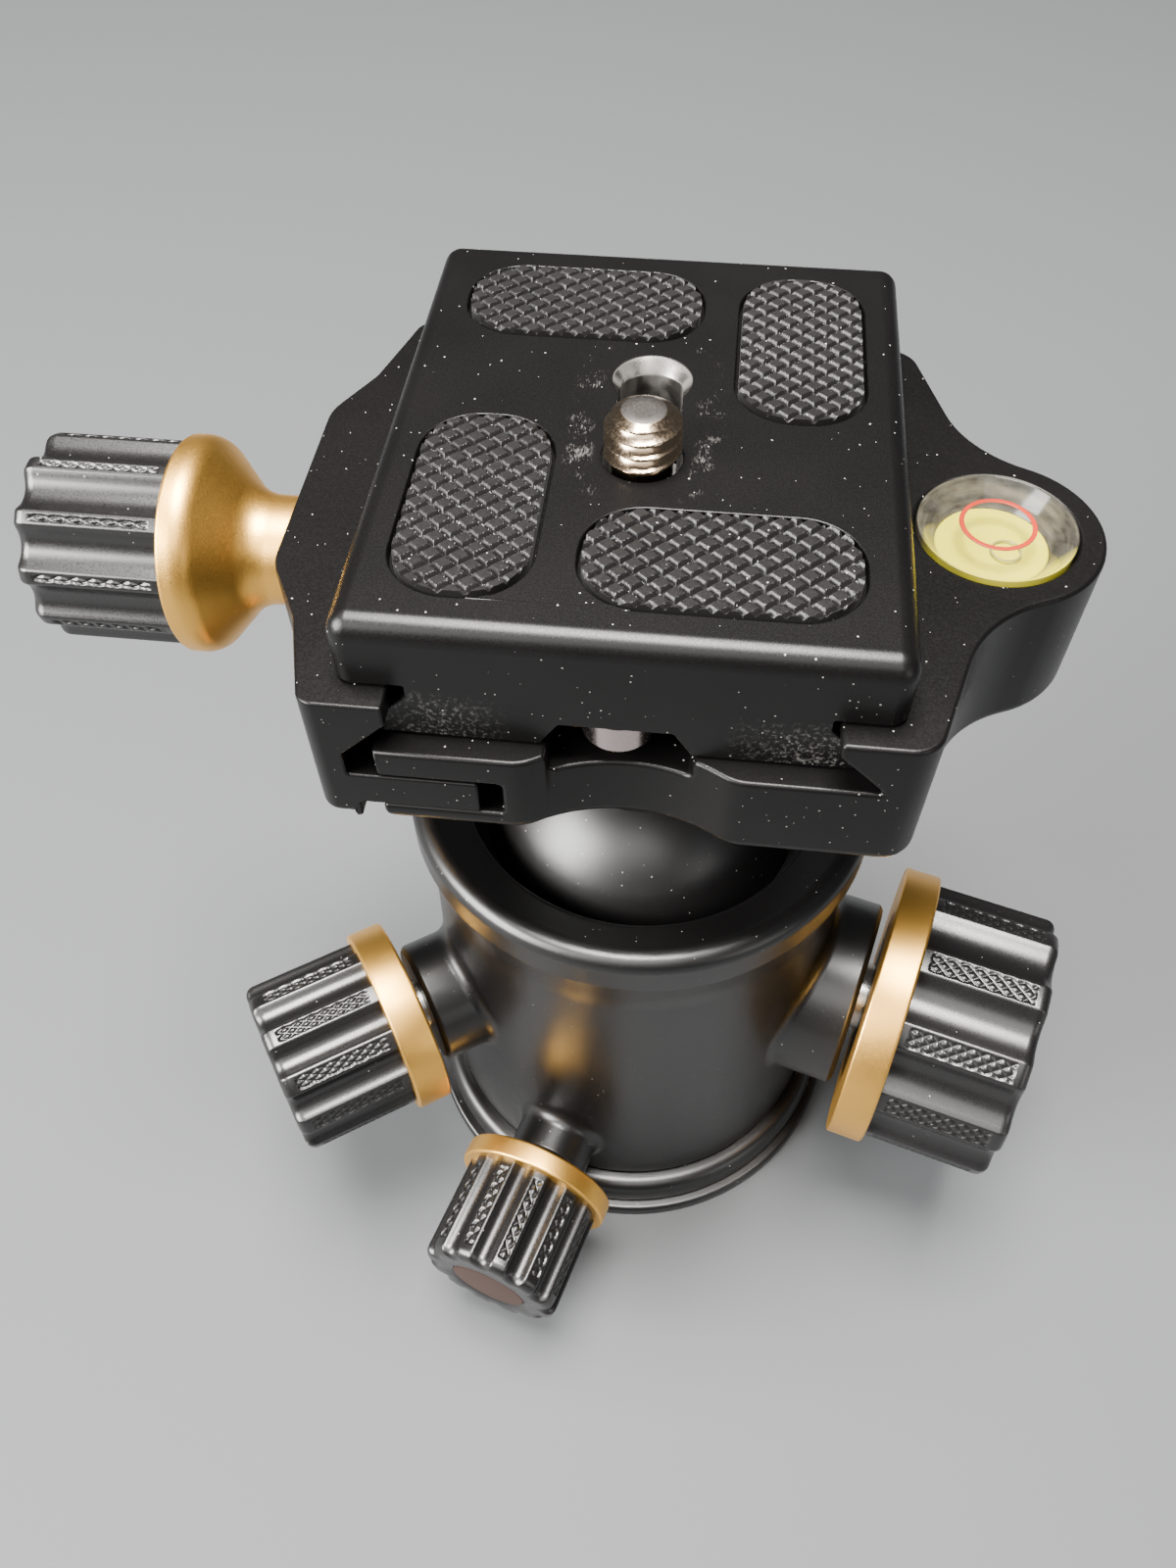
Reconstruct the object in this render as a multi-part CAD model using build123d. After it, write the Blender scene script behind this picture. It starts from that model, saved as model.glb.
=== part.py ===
from build123d import *
import math
import os

# Tripod ball head, millimetres. The body axis is Z, the base stands on z = 0, the main knob is at +X
# and +Y points away from the viewer. The dovetail clamp and its plate run along Y.

# Clearances
run_gap = 0.05          # radial or facing gap between pieces that move on each other
free_gap = 0.3          # gap between faces that only pass each other
flank_gap = 0.1         # play of the plate across its dovetail
overrun = 5.0           # how far a cutting tool runs past the face it cuts

# Base disc, the only piece that stands on the tripod
base_r = 27.6
base_band_r = 26.5
base_groove_r = 26.0
base_flange_h = 1.9
base_groove_h = 0.5
base_h = 6.0
base_round = 1.8
base_flange_round = 0.5
socket_r = 4.7625       # 3/8 inch thread, major radius
socket_depth = 9.0
glide_h = 0.45
glide_inset = 2.0

# Spindle that the housing turns on, in one piece with the base disc
spindle_r = 14.0
spindle_top = 19.0
spindle_groove_depth = 0.8
spindle_groove_h = 6.0
spindle_neck_r = 7.5

# Floor that closes the housing from below and turns on the spindle
web_h = 3.0
washer_h = 0.3
washer_r = 12.5
keeper_h = 1.5
bolt_r = 3.0
bolt_head_r = 5.0
bolt_head_h = 4.0
bolt_length = 13.0
bolt_key_r = 2.5
bolt_key_depth = 2.2

# Ball, and the housing around it
ball_r = 18.0
ball_z = 47.5
housing_bore_r = 21.0
housing_foot_r = 24.3
housing_waist_r = 23.4
housing_waist_z = 52.0
housing_edge = 0.5
collar_r = 24.8
collar_low_z = 57.4
collar_peak_z = 63.2    # where the collar's side and dish would meet, before the rounding
collar_round = 1.6
collar_under_round = 2.0
waist_round = 14.0
boss_blend = 1.6        # rounding where a boss meets the barrel
mouth_r = 19.0
mouth_z = 59.5
mouth_edge = 0.3
seat_top_z = 53.6
seat_h = 4.6
cup_low_z = 31.0
cup_top_z = 38.4
cup_bore_r = 9.0
cup_lift = 0.15

# Neck that carries the clamp, and the notch that it drops into for portrait shots
neck_r = 8.0
neck_flare_r = 11.0
neck_flare_h = 4.0
neck_pad_h = 1.2
notch_side_gap = 0.6

# Side knobs: azimuth and height of each axis, boss, screw, gold ring and fluted grip
main_azimuth = -15.3
main_z = 29.5
main_boss_r = 11.2
main_screw_r = 4.0
main_ring_r = 16.5
main_ring_h = 4.2
main_grip_r = 15.5
main_grip_h = 14.0
main_flutes = 11
main_flute_depth = 1.15
main_land_share = 0.36  # part of the pitch that a knurled land takes
main_turn_share = 0.468 # part of the pitch that the first flute is turned on by
main_travel = 1.0
main_pin_tip = 13.0
wedge_tip_h = 1.6

friction_azimuth = 213.9
friction_z = 32.5
friction_boss_r = 7.2
friction_screw_r = 3.0
friction_ring_r = 10.9
friction_ring_h = 4.0
friction_grip_r = 9.9
friction_grip_h = 13.0
friction_flutes = 11
friction_flute_depth = 0.9
friction_land_share = 0.42
friction_turn_share = 0.988
friction_travel = 0.5

pan_azimuth = -107.1
pan_z = 15.0
pan_boss_r = 4.9
pan_screw_r = 2.5
pan_ring_r = 9.3
pan_ring_h = 2.5
pan_grip_r = 8.3
pan_grip_h = 12.1
pan_flutes = 12
pan_flute_depth = 0.8
pan_land_share = 0.46
pan_turn_share = 0.117
pan_travel = 0.4

boss_face = 28.8        # distance of the boss faces from the body axis
boss_edge = 0.5
knob_start = 29.9       # distance of the knobs' inner faces, with the locks eased
pin_back = 24.6         # where a pressure pin ends and its screw begins
ring_edge = 0.4
grip_edge = 1.1
hub_share = 0.48        # hub radius over grip radius
disc_share = 0.55       # end disc radius over grip radius
disc_h = 0.8
screw_head_h = 2.5
screw_head_share = 1.5  # moulded-in screw head over screw radius

# Clamp base with the fixed jaw at +X. Its middle lies a little behind the body axis, and its places in x
# are reached from the edges of the plate's tail, outwards on both sides
clamp_z = 81.1
clamp_y = 1.25
clamp_l = 50.0
clamp_floor_h = 9.0
fixed_corner_reach = 4.65
fixed_slope_share = 0.3     # how fast the side runs out towards the level's boss
fixed_lip_gap = 0.55        # from the fixed lip to the plate's neck
clamp_left_inset = 0.25
clamp_corner = 2.8
clamp_bottom_round = 1.5
scallop_r = 14.0
scallop_depth = 2.6
scallop_blend = 4.0
boss_reach = 10.65
level_boss_r = 9.0
level_boss_blend = 11.0
pocket_shift = 0.4          # from the plate's middle line to the pockets'
pocket_w = 11.4
pocket_depth = 1.9
pocket_corner = 1.5
slot_low_h = 2.25
slot_top_h = 6.1
slot_inner_y = 11.0
slot_wall = 10.25           # from the plate's tail edge in to the end of the tongues' slots

# Sliding jaw at -X
jaw_low_h = 0.4
jaw_end_reach = 4.75
jaw_shoulder_reach = 7.35
jaw_hump_reach = 10.45
jaw_hump_half = 10.2
jaw_shoulder_half = 15.9
jaw_hump_round = 5.0
jaw_shoulder_round = 5.5
jaw_corner = 1.6
jaw_inner_reach = 2.15
jaw_foot_w = 0.5
jaw_lip_gap = 1.25          # from the sliding lip to the plate's neck
jaw_round = 1.2
tongue_l = 10.5

# Draw screw with its knob, and the two springs that open the jaw
draw_depth = 2.9            # from the clamp's floor down to the draw screw's axis
draw_r = 2.5
draw_tip_gap = 3.5          # from the clamp bolt's head to the screw's tip
draw_hole_gap = 2.3
spring_r = 1.4
spring_wall = 0.5
spring_y = 6.6
spring_h = 4.0
spring_sink = 6.4           # how far the springs stand in the base
spring_cover = 4.6          # jaw wall that is left behind the springs

cone_neck_r = 5.0
cone_neck_l = 5.1
cone_rim_r = 9.9
cone_rise_l = 9.2
cone_l = 11.5
cone_hub_l = 3.8
cone_hollow_round = 3.5
cone_shoulder_round = 2.5
clamp_grip_r = 9.3
clamp_grip_h = 13.1
clamp_flutes = 11
clamp_flute_depth = 0.9
clamp_land_share = 0.29
clamp_turn_share = 0.55

clamp_bolt_head_r = 5.0
clamp_bolt_head_h = 3.2
clamp_bolt_sink = 0.2
clamp_bolt_end_z = 56.0

# Round spirit level in the boss
level_r = 6.75
level_depth = 6.0
level_proud = 0.5
level_edge = 0.5
level_wall = 1.15
level_floor = 1.0
level_lid = 1.1
level_dome = 0.25
level_ring_r = 3.0
level_ring_w = 0.25
level_ring_h = 0.15
bubble_r = 1.3
bubble_h = 0.5
bubble_x = 1.0
bubble_y = -1.1

# Quick-release plate with its dovetail, pads, stop pins and camera screw
plate_x = -1.1
plate_shift_y = 3.05    # how far the plate's middle lies behind the clamp's
plate_w = 43.0
plate_l = 51.8
slab_h = 6.05
plate_round = 1.8
plate_corner = 1.6
tail_w = 38.1
tail_edge_h = 1.2
tail_neck_h = 1.15
tail_h = 5.35
channel_w = 8.8
channel_mouth_w = 11.7
channel_depth = 2.3
pad_w_share = 0.2027    # pad width over plate length
pad_corner_share = 0.448
pad_end_margin = 4.07
pad_side_margin = 3.69
pad_row_margin = 4.13
pad_between = 3.78      # plate left between a row pad and a side pad
pad_h = 1.2
pad_sink = 0.9
pad_side_gap = 0.35
stop_r = 3.0
stop_play = 2.85        # from the front pin to the end of its pocket
stop_drop = 0.6
stop_shank_r = 1.5
stop_shank_l = 3.5
stop_edge = 0.4
screw_r = 3.175         # 1/4 inch thread, major radius
screw_tip_r = 1.75
screw_tip_h = 0.9
screw_shank_r = 2.5
screw_y_share = -0.09073        # place of the screw over plate length
screw_travel_share = 0.19
screw_proud = 4.4
screw_head_r = 5.4
screw_head_h = 3.3
screw_head_edge = 0.4
screw_ledge = 4.3
screw_washer_h = 0.4
screw_slot_w = 1.3
screw_slot_depth = 1.4
head_side_gap = 0.3
entry_side_gap = 0.12
slot_side_gap = 0.2
slot_bevel_w = 0.75
slot_bevel_depth = 1.1
slot_bevel_shift = 0.4

# Heights and places that follow from the sizes above: base and housing
housing_bottom = base_h + glide_h + run_gap
web_low = spindle_top + free_gap
web_top = web_low + web_h
keeper_z = web_top + run_gap + washer_h
bolt_tip_z = keeper_z + keeper_h - bolt_length
cup_drop = cup_lift + run_gap
wedge_rise_share = cup_lift / main_travel
notch_r = neck_r + notch_side_gap

# Heights of the clamp and plate
clamp_floor = clamp_z + clamp_floor_h
clamp_top = clamp_floor + tail_h
draw_z = clamp_floor - draw_depth
plate_low = clamp_floor + free_gap
slab_low = plate_low + tail_h
plate_top_z = slab_low + slab_h
ledge_low = plate_top_z - screw_ledge
washer_top_z = ledge_low - run_gap
washer_low_z = washer_top_z - screw_washer_h

# Places of the clamp and plate along and across the dovetail
half_l = clamp_l / 2
plate_y = clamp_y + plate_shift_y
pocket_inner = plate_l / 2 - plate_shift_y - 2 * stop_r - stop_play
tail_neck_w = tail_w - 2 * (tail_h - tail_neck_h - tail_edge_h)
tail_left = plate_x - tail_w / 2
tail_right = plate_x + tail_w / 2
clamp_left_x = tail_left + clamp_left_inset
slot_end_x = tail_left + slot_wall
fixed_lip_x = plate_x + tail_neck_w / 2 + fixed_lip_gap
fixed_corner_x = tail_right + fixed_corner_reach
fixed_apex_x = fixed_corner_x + fixed_slope_share * half_l
boss_x = tail_right + boss_reach
jaw_lip_x = plate_x - tail_neck_w / 2 - jaw_lip_gap
jaw_inner_x = tail_left - jaw_inner_reach
jaw_end_x = tail_left - jaw_end_reach
jaw_shoulder_x = tail_left - jaw_shoulder_reach
jaw_hump_x = tail_left - jaw_hump_reach
draw_tip_x = -clamp_bolt_head_r - draw_tip_gap
draw_hole_end_x = -clamp_bolt_head_r - draw_hole_gap
spring_base_x = clamp_left_x + spring_sink
spring_jaw_x = jaw_hump_x + spring_cover

# Pads and screw of the plate
pad_w = plate_l * pad_w_share
pad_l = plate_w - pad_w - pad_side_margin - pad_row_margin - pad_between
pad_corner = pad_w * pad_corner_share
pad_side_x = plate_w / 2 - pad_side_margin - pad_w / 2
pad_side_y = plate_l / 2 - pad_end_margin - pad_l / 2
pad_row_x = plate_w / 2 - pad_row_margin - pad_l / 2
pad_row_y = plate_l / 2 - pad_end_margin - pad_w / 2
screw_y = plate_l * screw_y_share
screw_travel = plate_l * screw_travel_share


def turned(points, radii=None):
    """Solid of revolution about Z from (radius, height) points; radii rounds the corners in turn."""
    if radii is None:
        outline = Polyline(*points, close=True)
    else:
        outline = FilletPolyline(*points, radius=radii, close=True)
    return revolve(Plane.XZ * make_face(outline), Axis.Z)


def rod(radius, low, high):
    """Round rod on Z between two heights."""
    return Pos(0, 0, (low + high) / 2) * Cylinder(radius, high - low)


def radial(azimuth, height):
    """Place whose Z axis points out of the body axis at an azimuth, and whose Y axis points up."""
    turn = math.radians(azimuth)
    outward = (math.cos(turn), math.sin(turn), 0)
    along = (-math.sin(turn), math.cos(turn), 0)
    return Plane(origin=(0, 0, height), x_dir=along, z_dir=outward).location


def along_x(x, y, z):
    """Place whose Z axis points to -X, for the pieces on the draw screw."""
    return Plane(origin=(x, y, z), x_dir=(0, 1, 0), z_dir=(-1, 0, 0)).location


def prism_y(points, y_low, y_high):
    """Prism along Y of an outline of (x, z) points."""
    face = Plane.XZ * make_face(Polyline(*points, close=True))
    return Pos(0, y_high, 0) * extrude(face, y_high - y_low)


def block(x_low, x_high, y_low, y_high, z_low, z_high):
    """Box between two corners."""
    centre = Pos((x_low + x_high) / 2, (y_low + y_high) / 2, (z_low + z_high) / 2)
    return centre * Box(x_high - x_low, y_high - y_low, z_high - z_low)


def near(shapes, axis, value):
    """Those of some edges or corners whose middle lies at one value along an axis."""
    return shapes.filter_by_position(axis, value - run_gap / 2, value + run_gap / 2)


def edges_at(solid, height):
    """Edges of a solid that lie flat at one height."""
    return near(solid.edges(), Axis.Z, height)


# Base and spindle

def make_base_disc():
    groove_top = base_flange_h + base_groove_h
    points = [
        (0, 0), (base_r, 0), (base_r, base_flange_h), (base_groove_r, base_flange_h),
        (base_groove_r, groove_top), (base_band_r, groove_top), (base_band_r, base_h),
        (spindle_r, base_h), (spindle_r, spindle_top), (spindle_neck_r, spindle_top),
        (spindle_neck_r, keeper_z), (0, keeper_z),
    ]
    radii = [0, base_flange_round, base_flange_round, 0, 0, 0, base_round, 0, 0, 0, 0, 0]
    disc = turned(points, radii)
    disc -= rod(socket_r, -overrun, socket_depth)
    disc -= rod(bolt_r, bolt_tip_z, keeper_z + overrun)
    groove = rod(spindle_r + overrun, pan_z - spindle_groove_h / 2, pan_z + spindle_groove_h / 2)
    groove -= rod(spindle_r - spindle_groove_depth, 0, spindle_top)
    return disc - groove


def make_glide_ring():
    outer = housing_bore_r + (housing_foot_r - housing_bore_r) / 2
    ring = rod(outer, base_h, base_h + glide_h)
    return ring - rod(spindle_r, 0, housing_bottom + overrun)


def make_flat_washer(outer, inner, low, high):
    return rod(outer, low, high) - rod(inner, low - overrun, high + overrun)


def make_spindle_bolt():
    head_low = keeper_z + keeper_h
    bolt = rod(bolt_r, bolt_tip_z, head_low) + rod(bolt_head_r, head_low, head_low + bolt_head_h)
    key_z = head_low + bolt_head_h - bolt_key_depth
    key = Pos(0, 0, key_z) * extrude(RegularPolygon(bolt_key_r, 6), bolt_key_depth + overrun)
    return bolt - key


def make_housing_floor():
    outer = housing_bore_r
    floor = rod(outer, housing_bottom, web_top)
    floor -= rod(spindle_r + run_gap, housing_bottom - overrun, web_low)
    floor -= rod(spindle_neck_r + run_gap, web_low - overrun, web_top + overrun)
    return floor - radial(pan_azimuth, pan_z) * rod(pan_screw_r, 0, boss_face)


# Housing, seats and ball

def portrait_notch():
    """U-shaped cut at the back, wide enough for the neck at 90 degrees."""
    upright = block(-notch_r, notch_r, 0, collar_r + overrun, ball_z, collar_peak_z + overrun)
    round_end = Plane(origin=(0, 0, ball_z), x_dir=(1, 0, 0), z_dir=(0, 1, 0)).location
    return upright + round_end * rod(notch_r, 0, collar_r + overrun)


def make_housing():
    outside = [
        (0, housing_bottom), (housing_foot_r, housing_bottom), (housing_waist_r, housing_waist_z),
        (collar_r, collar_low_z), (collar_r, collar_peak_z), (mouth_r, mouth_z), (0, mouth_z),
    ]
    radii = [0, housing_edge, waist_round, collar_under_round, collar_round, mouth_edge, 0]
    body = turned(outside, radii)
    for azimuth, height, radius in (
        (main_azimuth, main_z, main_boss_r),
        (friction_azimuth, friction_z, friction_boss_r),
        (pan_azimuth, pan_z, pan_boss_r),
    ):
        boss = rod(radius, 0, boss_face)
        boss = radial(azimuth, height) * chamfer(edges_at(boss, boss_face), boss_edge)
        joined = body + boss
        body = fillet(new_edges(body, boss, combined=joined), boss_blend)
    lip_r = mouth_r - mouth_edge
    body -= turned([
        (0, housing_bottom - overrun), (housing_bore_r, housing_bottom - overrun),
        (housing_bore_r, seat_top_z), (lip_r, seat_top_z), (lip_r, mouth_z + overrun),
        (0, mouth_z + overrun),
    ])
    for azimuth, height, radius in (
        (main_azimuth, main_z, main_screw_r),
        (friction_azimuth, friction_z, friction_screw_r),
        (pan_azimuth, pan_z, pan_screw_r),
    ):
        body -= radial(azimuth, height) * rod(radius, spindle_r, boss_face + overrun)
    return body - portrait_notch()


def make_upper_seat():
    seat = rod(housing_bore_r, seat_top_z - seat_h, seat_top_z)
    seat -= Pos(0, 0, ball_z) * Sphere(ball_r + run_gap)
    return seat - portrait_notch()


def wedge_space(gap, inner, outer):
    """Round channel along the main pin, closed above by the wedge's slope."""
    low = main_z + wedge_tip_h
    rise = wedge_rise_share * (outer - main_pin_tip)
    fall = wedge_rise_share * (main_pin_tip - inner)
    slope = make_face(Polyline(
        (inner, -main_z), (outer, -main_z),
        (outer, low - main_z + rise + gap), (inner, low - main_z - fall + gap), close=True,
    ))
    turn = math.radians(main_azimuth)
    side = Plane(
        origin=(0, 0, main_z), x_dir=(math.cos(turn), math.sin(turn), 0),
        z_dir=(math.sin(turn), -math.cos(turn), 0),
    )
    slab = extrude(side * slope, main_boss_r, both=True)
    return slab & radial(main_azimuth, main_z) * rod(main_screw_r - run_gap + gap, inner, outer)


def make_lower_cup():
    cup = rod(housing_bore_r - run_gap, cup_low_z, cup_top_z)
    cup -= rod(cup_bore_r, cup_low_z - overrun, cup_top_z)
    cup -= Pos(0, 0, ball_z - cup_drop) * Sphere(ball_r)
    return cup - wedge_space(run_gap, main_pin_tip - main_travel - free_gap, housing_bore_r)


def make_ball():
    ball = Pos(0, 0, ball_z) * Sphere(ball_r)
    return ball - rod(bolt_r + run_gap, clamp_bolt_end_z - free_gap, ball_z + ball_r + overrun)


# Side knobs, drawn on Z and then placed; distances are from the body axis

def make_grip(radius, start, height, flutes, depth, land_share, turn_share, hub_r, ring_h, bore_r, bore_end):
    """Fluted grip with smooth hollows between lands, a hub through the gold ring and an end recess."""
    end = start + height
    grip = rod(radius, start, end)
    grip = chamfer(edges_at(grip, end), grip_edge)
    half = math.pi / flutes * (1 - land_share)
    half_chord = radius * math.sin(half)
    cutter_r = (half_chord ** 2 + depth ** 2) / (2 * depth)
    cutter_at = radius * math.cos(half) + cutter_r - depth
    for k in range(flutes):
        cutter = Pos(cutter_at, 0, 0) * rod(cutter_r, start - overrun, end + overrun)
        grip -= Rot(0, 0, (k + turn_share) * 360 / flutes) * cutter
    grip += rod(hub_r, start - ring_h, start)
    grip -= rod(radius * disc_share, end - disc_h, end + overrun)
    return grip - rod(bore_r, start - ring_h - overrun, bore_end)


def make_ring(radius, hub_r, start, height):
    ring = rod(radius, start, start + height)
    ring = chamfer(ring.edges(), ring_edge)
    return ring - rod(hub_r, start - overrun, start + height + overrun)


def make_knob_screw(radius, low, high):
    """Screw with a wider head that is moulded into the grip."""
    return rod(radius, low, high - screw_head_h) + rod(radius * screw_head_share, high - screw_head_h, high)


def side_knob(name, azimuth, height, screw_r, ring_r, ring_h, grip_r, grip_h, flutes, depth, land, turn):
    """The four solids of a side knob, placed at its boss; land and turn are shares of the flute pitch."""
    place = radial(azimuth, height)
    hub_r = grip_r * hub_share
    grip_low = knob_start + ring_h
    screw_end = grip_low + grip_h / 2
    shaft_r = screw_r - run_gap
    grip = make_grip(
        grip_r, grip_low, grip_h, flutes, depth, land, turn, hub_r, ring_h, shaft_r, screw_end
    )
    grip -= rod(shaft_r * screw_head_share, screw_end - screw_head_h, screw_end)
    end = grip_low + grip_h
    return {
        name + "_screw": place * make_knob_screw(shaft_r, pin_back + run_gap, screw_end),
        name + "_gold_ring": place * make_ring(ring_r, hub_r, knob_start, ring_h),
        name + "_grip": place * grip,
        name + "_end_disc": place * rod(grip_r * disc_share, end - disc_h, end),
    }


def make_main_pin():
    return wedge_space(0, main_pin_tip, pin_back)


def make_friction_pad():
    tip = housing_bore_r + friction_travel
    return radial(friction_azimuth, friction_z) * rod(friction_screw_r - run_gap, tip, pin_back)


def make_pan_shoe():
    tip = spindle_r - spindle_groove_depth + run_gap + pan_travel
    return radial(pan_azimuth, pan_z) * rod(pan_screw_r - run_gap, tip, pin_back)


# Neck, clamp base and level

def make_neck():
    points = [
        (0, ball_z), (neck_r, ball_z), (neck_r, clamp_z - neck_flare_h),
        (neck_flare_r, clamp_z - neck_pad_h), (neck_flare_r, clamp_z), (0, clamp_z),
    ]
    neck = turned(points, [0, 0, neck_flare_h / 2, 0, 0, 0])
    neck -= Pos(0, 0, ball_z) * Sphere(ball_r + run_gap)
    return neck - rod(bolt_r, ball_z, clamp_z + overrun)


def clamp_plan():
    """Outline of the clamp base from above, about its own middle, with both end scallops and the boss."""
    plan = make_face(Polyline(
        (clamp_left_x, -half_l), (fixed_corner_x, -half_l), (fixed_apex_x, 0),
        (fixed_corner_x, half_l), (clamp_left_x, half_l), close=True,
    ))
    plan = fillet(near(plan.vertices(), Axis.X, fixed_corner_x), clamp_corner)
    plan += Pos(boss_x, 0) * Circle(level_boss_r)
    joints = plan.vertices().filter_by_position(Axis.X, fixed_corner_x, boss_x + level_boss_r / 2)
    joints = joints.filter_by_position(Axis.Y, -level_boss_r, level_boss_r)
    plan = fillet(joints, level_boss_blend)
    scallop_y = half_l + scallop_r - scallop_depth
    for side in (-1, 1):
        plan -= Pos(0, side * scallop_y) * Circle(scallop_r)
        corners = near(plan.vertices(), Axis.Y, side * half_l)
        plan = fillet(corners.filter_by_position(Axis.X, -scallop_r, scallop_r), scallop_blend)
    return plan


def flank_sum(side):
    """x times side plus z along a dovetail flank of the plate, a 45 degree line."""
    return side * plate_x + tail_w / 2 + plate_low + tail_edge_h


def make_clamp_base():
    base = extrude(Pos(0, 0, clamp_z) * clamp_plan(), clamp_top - clamp_z)
    base = fillet(edges_at(base, clamp_z), clamp_bottom_round)
    right_side = 1
    flank = flank_sum(right_side) + flank_gap
    channel = [
        (clamp_left_x - overrun, clamp_floor), (flank - clamp_floor, clamp_floor),
        (fixed_lip_x, flank - fixed_lip_x), (fixed_lip_x, clamp_top + overrun),
        (clamp_left_x - overrun, clamp_top + overrun),
    ]
    base -= prism_y(channel, -half_l - overrun, half_l + overrun)
    for side in (-1, 1):
        y_range = sorted((side * slot_inner_y, side * (half_l + overrun)))
        base -= block(
            clamp_left_x - overrun, slot_end_x, *y_range, clamp_z + slot_low_h, clamp_z + slot_top_h
        )
        pocket_l = half_l + overrun - pocket_inner
        pocket_place = Pos(
            plate_x + pocket_shift, side * (pocket_inner + pocket_l / 2), clamp_floor - pocket_depth
        )
        pocket = pocket_place * RectangleRounded(pocket_w, pocket_l, pocket_corner)
        base -= extrude(pocket, clamp_top - clamp_floor + pocket_depth)
    base -= along_x(clamp_left_x, 0, draw_z) * rod(draw_r + run_gap, clamp_left_x - draw_hole_end_x, overrun)
    for side in (-1, 1):
        place = along_x(clamp_left_x, side * spring_y, clamp_z + spring_h)
        base -= place * rod(spring_r + free_gap, clamp_left_x - spring_base_x, overrun)
    base -= Pos(boss_x, 0, 0) * rod(level_r, clamp_top - level_depth, clamp_top + overrun)
    base = Pos(0, clamp_y, 0) * base
    base -= rod(bolt_r, clamp_z - overrun, clamp_top)
    return base - rod(clamp_bolt_head_r, clamp_floor - clamp_bolt_head_h - clamp_bolt_sink, clamp_top)


def make_clamp_bolt():
    head_top = clamp_floor - clamp_bolt_sink
    head_low = head_top - clamp_bolt_head_h
    bolt = rod(bolt_r, clamp_bolt_end_z, head_low) + rod(clamp_bolt_head_r, head_low, head_top)
    key = extrude(RegularPolygon(bolt_key_r, 6), bolt_key_depth + overrun)
    return bolt - Pos(0, 0, head_top - bolt_key_depth) * key


def make_level():
    """Clear vial, its liquid with a bubble, and the red ring, at the boss."""
    low = clamp_top - level_depth
    high = clamp_top + level_proud
    place = Pos(boss_x, clamp_y, 0)
    vial = rod(level_r, low, high)
    vial = chamfer(edges_at(vial, high), level_edge)
    inner_r = level_r - level_wall
    ceiling = high - level_lid
    cavity = turned([
        (0, low + level_floor), (inner_r, low + level_floor), (inner_r, ceiling - level_dome), (0, ceiling),
    ])
    ring = rod(level_ring_r, ceiling, ceiling + level_ring_h)
    ring -= rod(level_ring_r - level_ring_w, ceiling - overrun, ceiling + overrun)
    bubble_top = ceiling - level_dome / 2
    bubble = turned([
        (0, bubble_top - bubble_h), (bubble_r, bubble_top - bubble_h / 2),
        (bubble_r * disc_share, bubble_top), (0, bubble_top),
    ])
    vial -= cavity + ring
    liquid = cavity - Pos(bubble_x, bubble_y, 0) * bubble
    return {"level_vial": place * vial, "level_liquid": place * liquid, "level_ring": place * ring}


# Sliding jaw, its knob and its springs

def jaw_outline():
    """Outline of the sliding jaw from above, about the clamp's middle, with a hump for the screw."""
    points = [
        (0, -half_l), (jaw_end_x, -half_l), (jaw_shoulder_x, -jaw_shoulder_half),
        (jaw_hump_x, -jaw_hump_half), (jaw_hump_x, jaw_hump_half),
        (jaw_shoulder_x, jaw_shoulder_half), (jaw_end_x, half_l), (0, half_l),
    ]
    radii = [
        0, jaw_corner, jaw_shoulder_round, jaw_hump_round, jaw_hump_round, jaw_shoulder_round,
        jaw_corner, 0,
    ]
    return make_face(FilletPolyline(*points, radius=radii, close=True))


def make_movable_jaw():
    low = clamp_z + jaw_low_h
    left_side = -1
    flank = flank_sum(left_side) + flank_gap
    jaw = extrude(Pos(0, 0, low) * jaw_outline(), clamp_top - low)
    jaw = fillet(edges_at(jaw, low), jaw_round)
    jaw -= prism_y([
        (jaw_inner_x, low - overrun), (overrun, low - overrun), (overrun, clamp_top + overrun),
        (jaw_lip_x, clamp_top + overrun), (jaw_lip_x, flank + jaw_lip_x),
        (jaw_inner_x, flank + jaw_inner_x),
    ], -half_l - overrun, half_l + overrun)
    tongue_low = clamp_z + slot_low_h + free_gap / 2
    tongue_top = clamp_z + slot_top_h - free_gap / 2
    tongue_start = slot_inner_y + free_gap / 2
    for side in (-1, 1):
        y_range = sorted((side * tongue_start, side * half_l))
        tongue = block(jaw_inner_x, jaw_inner_x + tongue_l, *y_range, tongue_low, tongue_top)
        foot = block(jaw_inner_x, jaw_inner_x + jaw_foot_w, *y_range, low, tongue_low)
        jaw += tongue + foot
    draw_hole = rod(draw_r + run_gap, -overrun, jaw_inner_x - jaw_hump_x + overrun)
    jaw -= along_x(jaw_inner_x, 0, draw_z) * draw_hole
    for side in (-1, 1):
        place = along_x(jaw_inner_x, side * spring_y, clamp_z + spring_h)
        jaw -= place * rod(spring_r + free_gap, -overrun, jaw_inner_x - spring_jaw_x)
    return Pos(0, clamp_y, 0) * jaw


def make_jaw_springs():
    """Two compression springs in line with the screw, one each side of it."""
    tube = rod(spring_r, -spring_base_x, -spring_jaw_x)
    tube -= rod(spring_r - spring_wall, -spring_base_x - overrun, -spring_jaw_x + overrun)
    pair = [along_x(0, clamp_y + side * spring_y, clamp_z + spring_h) * tube for side in (-1, 1)]
    return Compound(children=pair)


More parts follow.
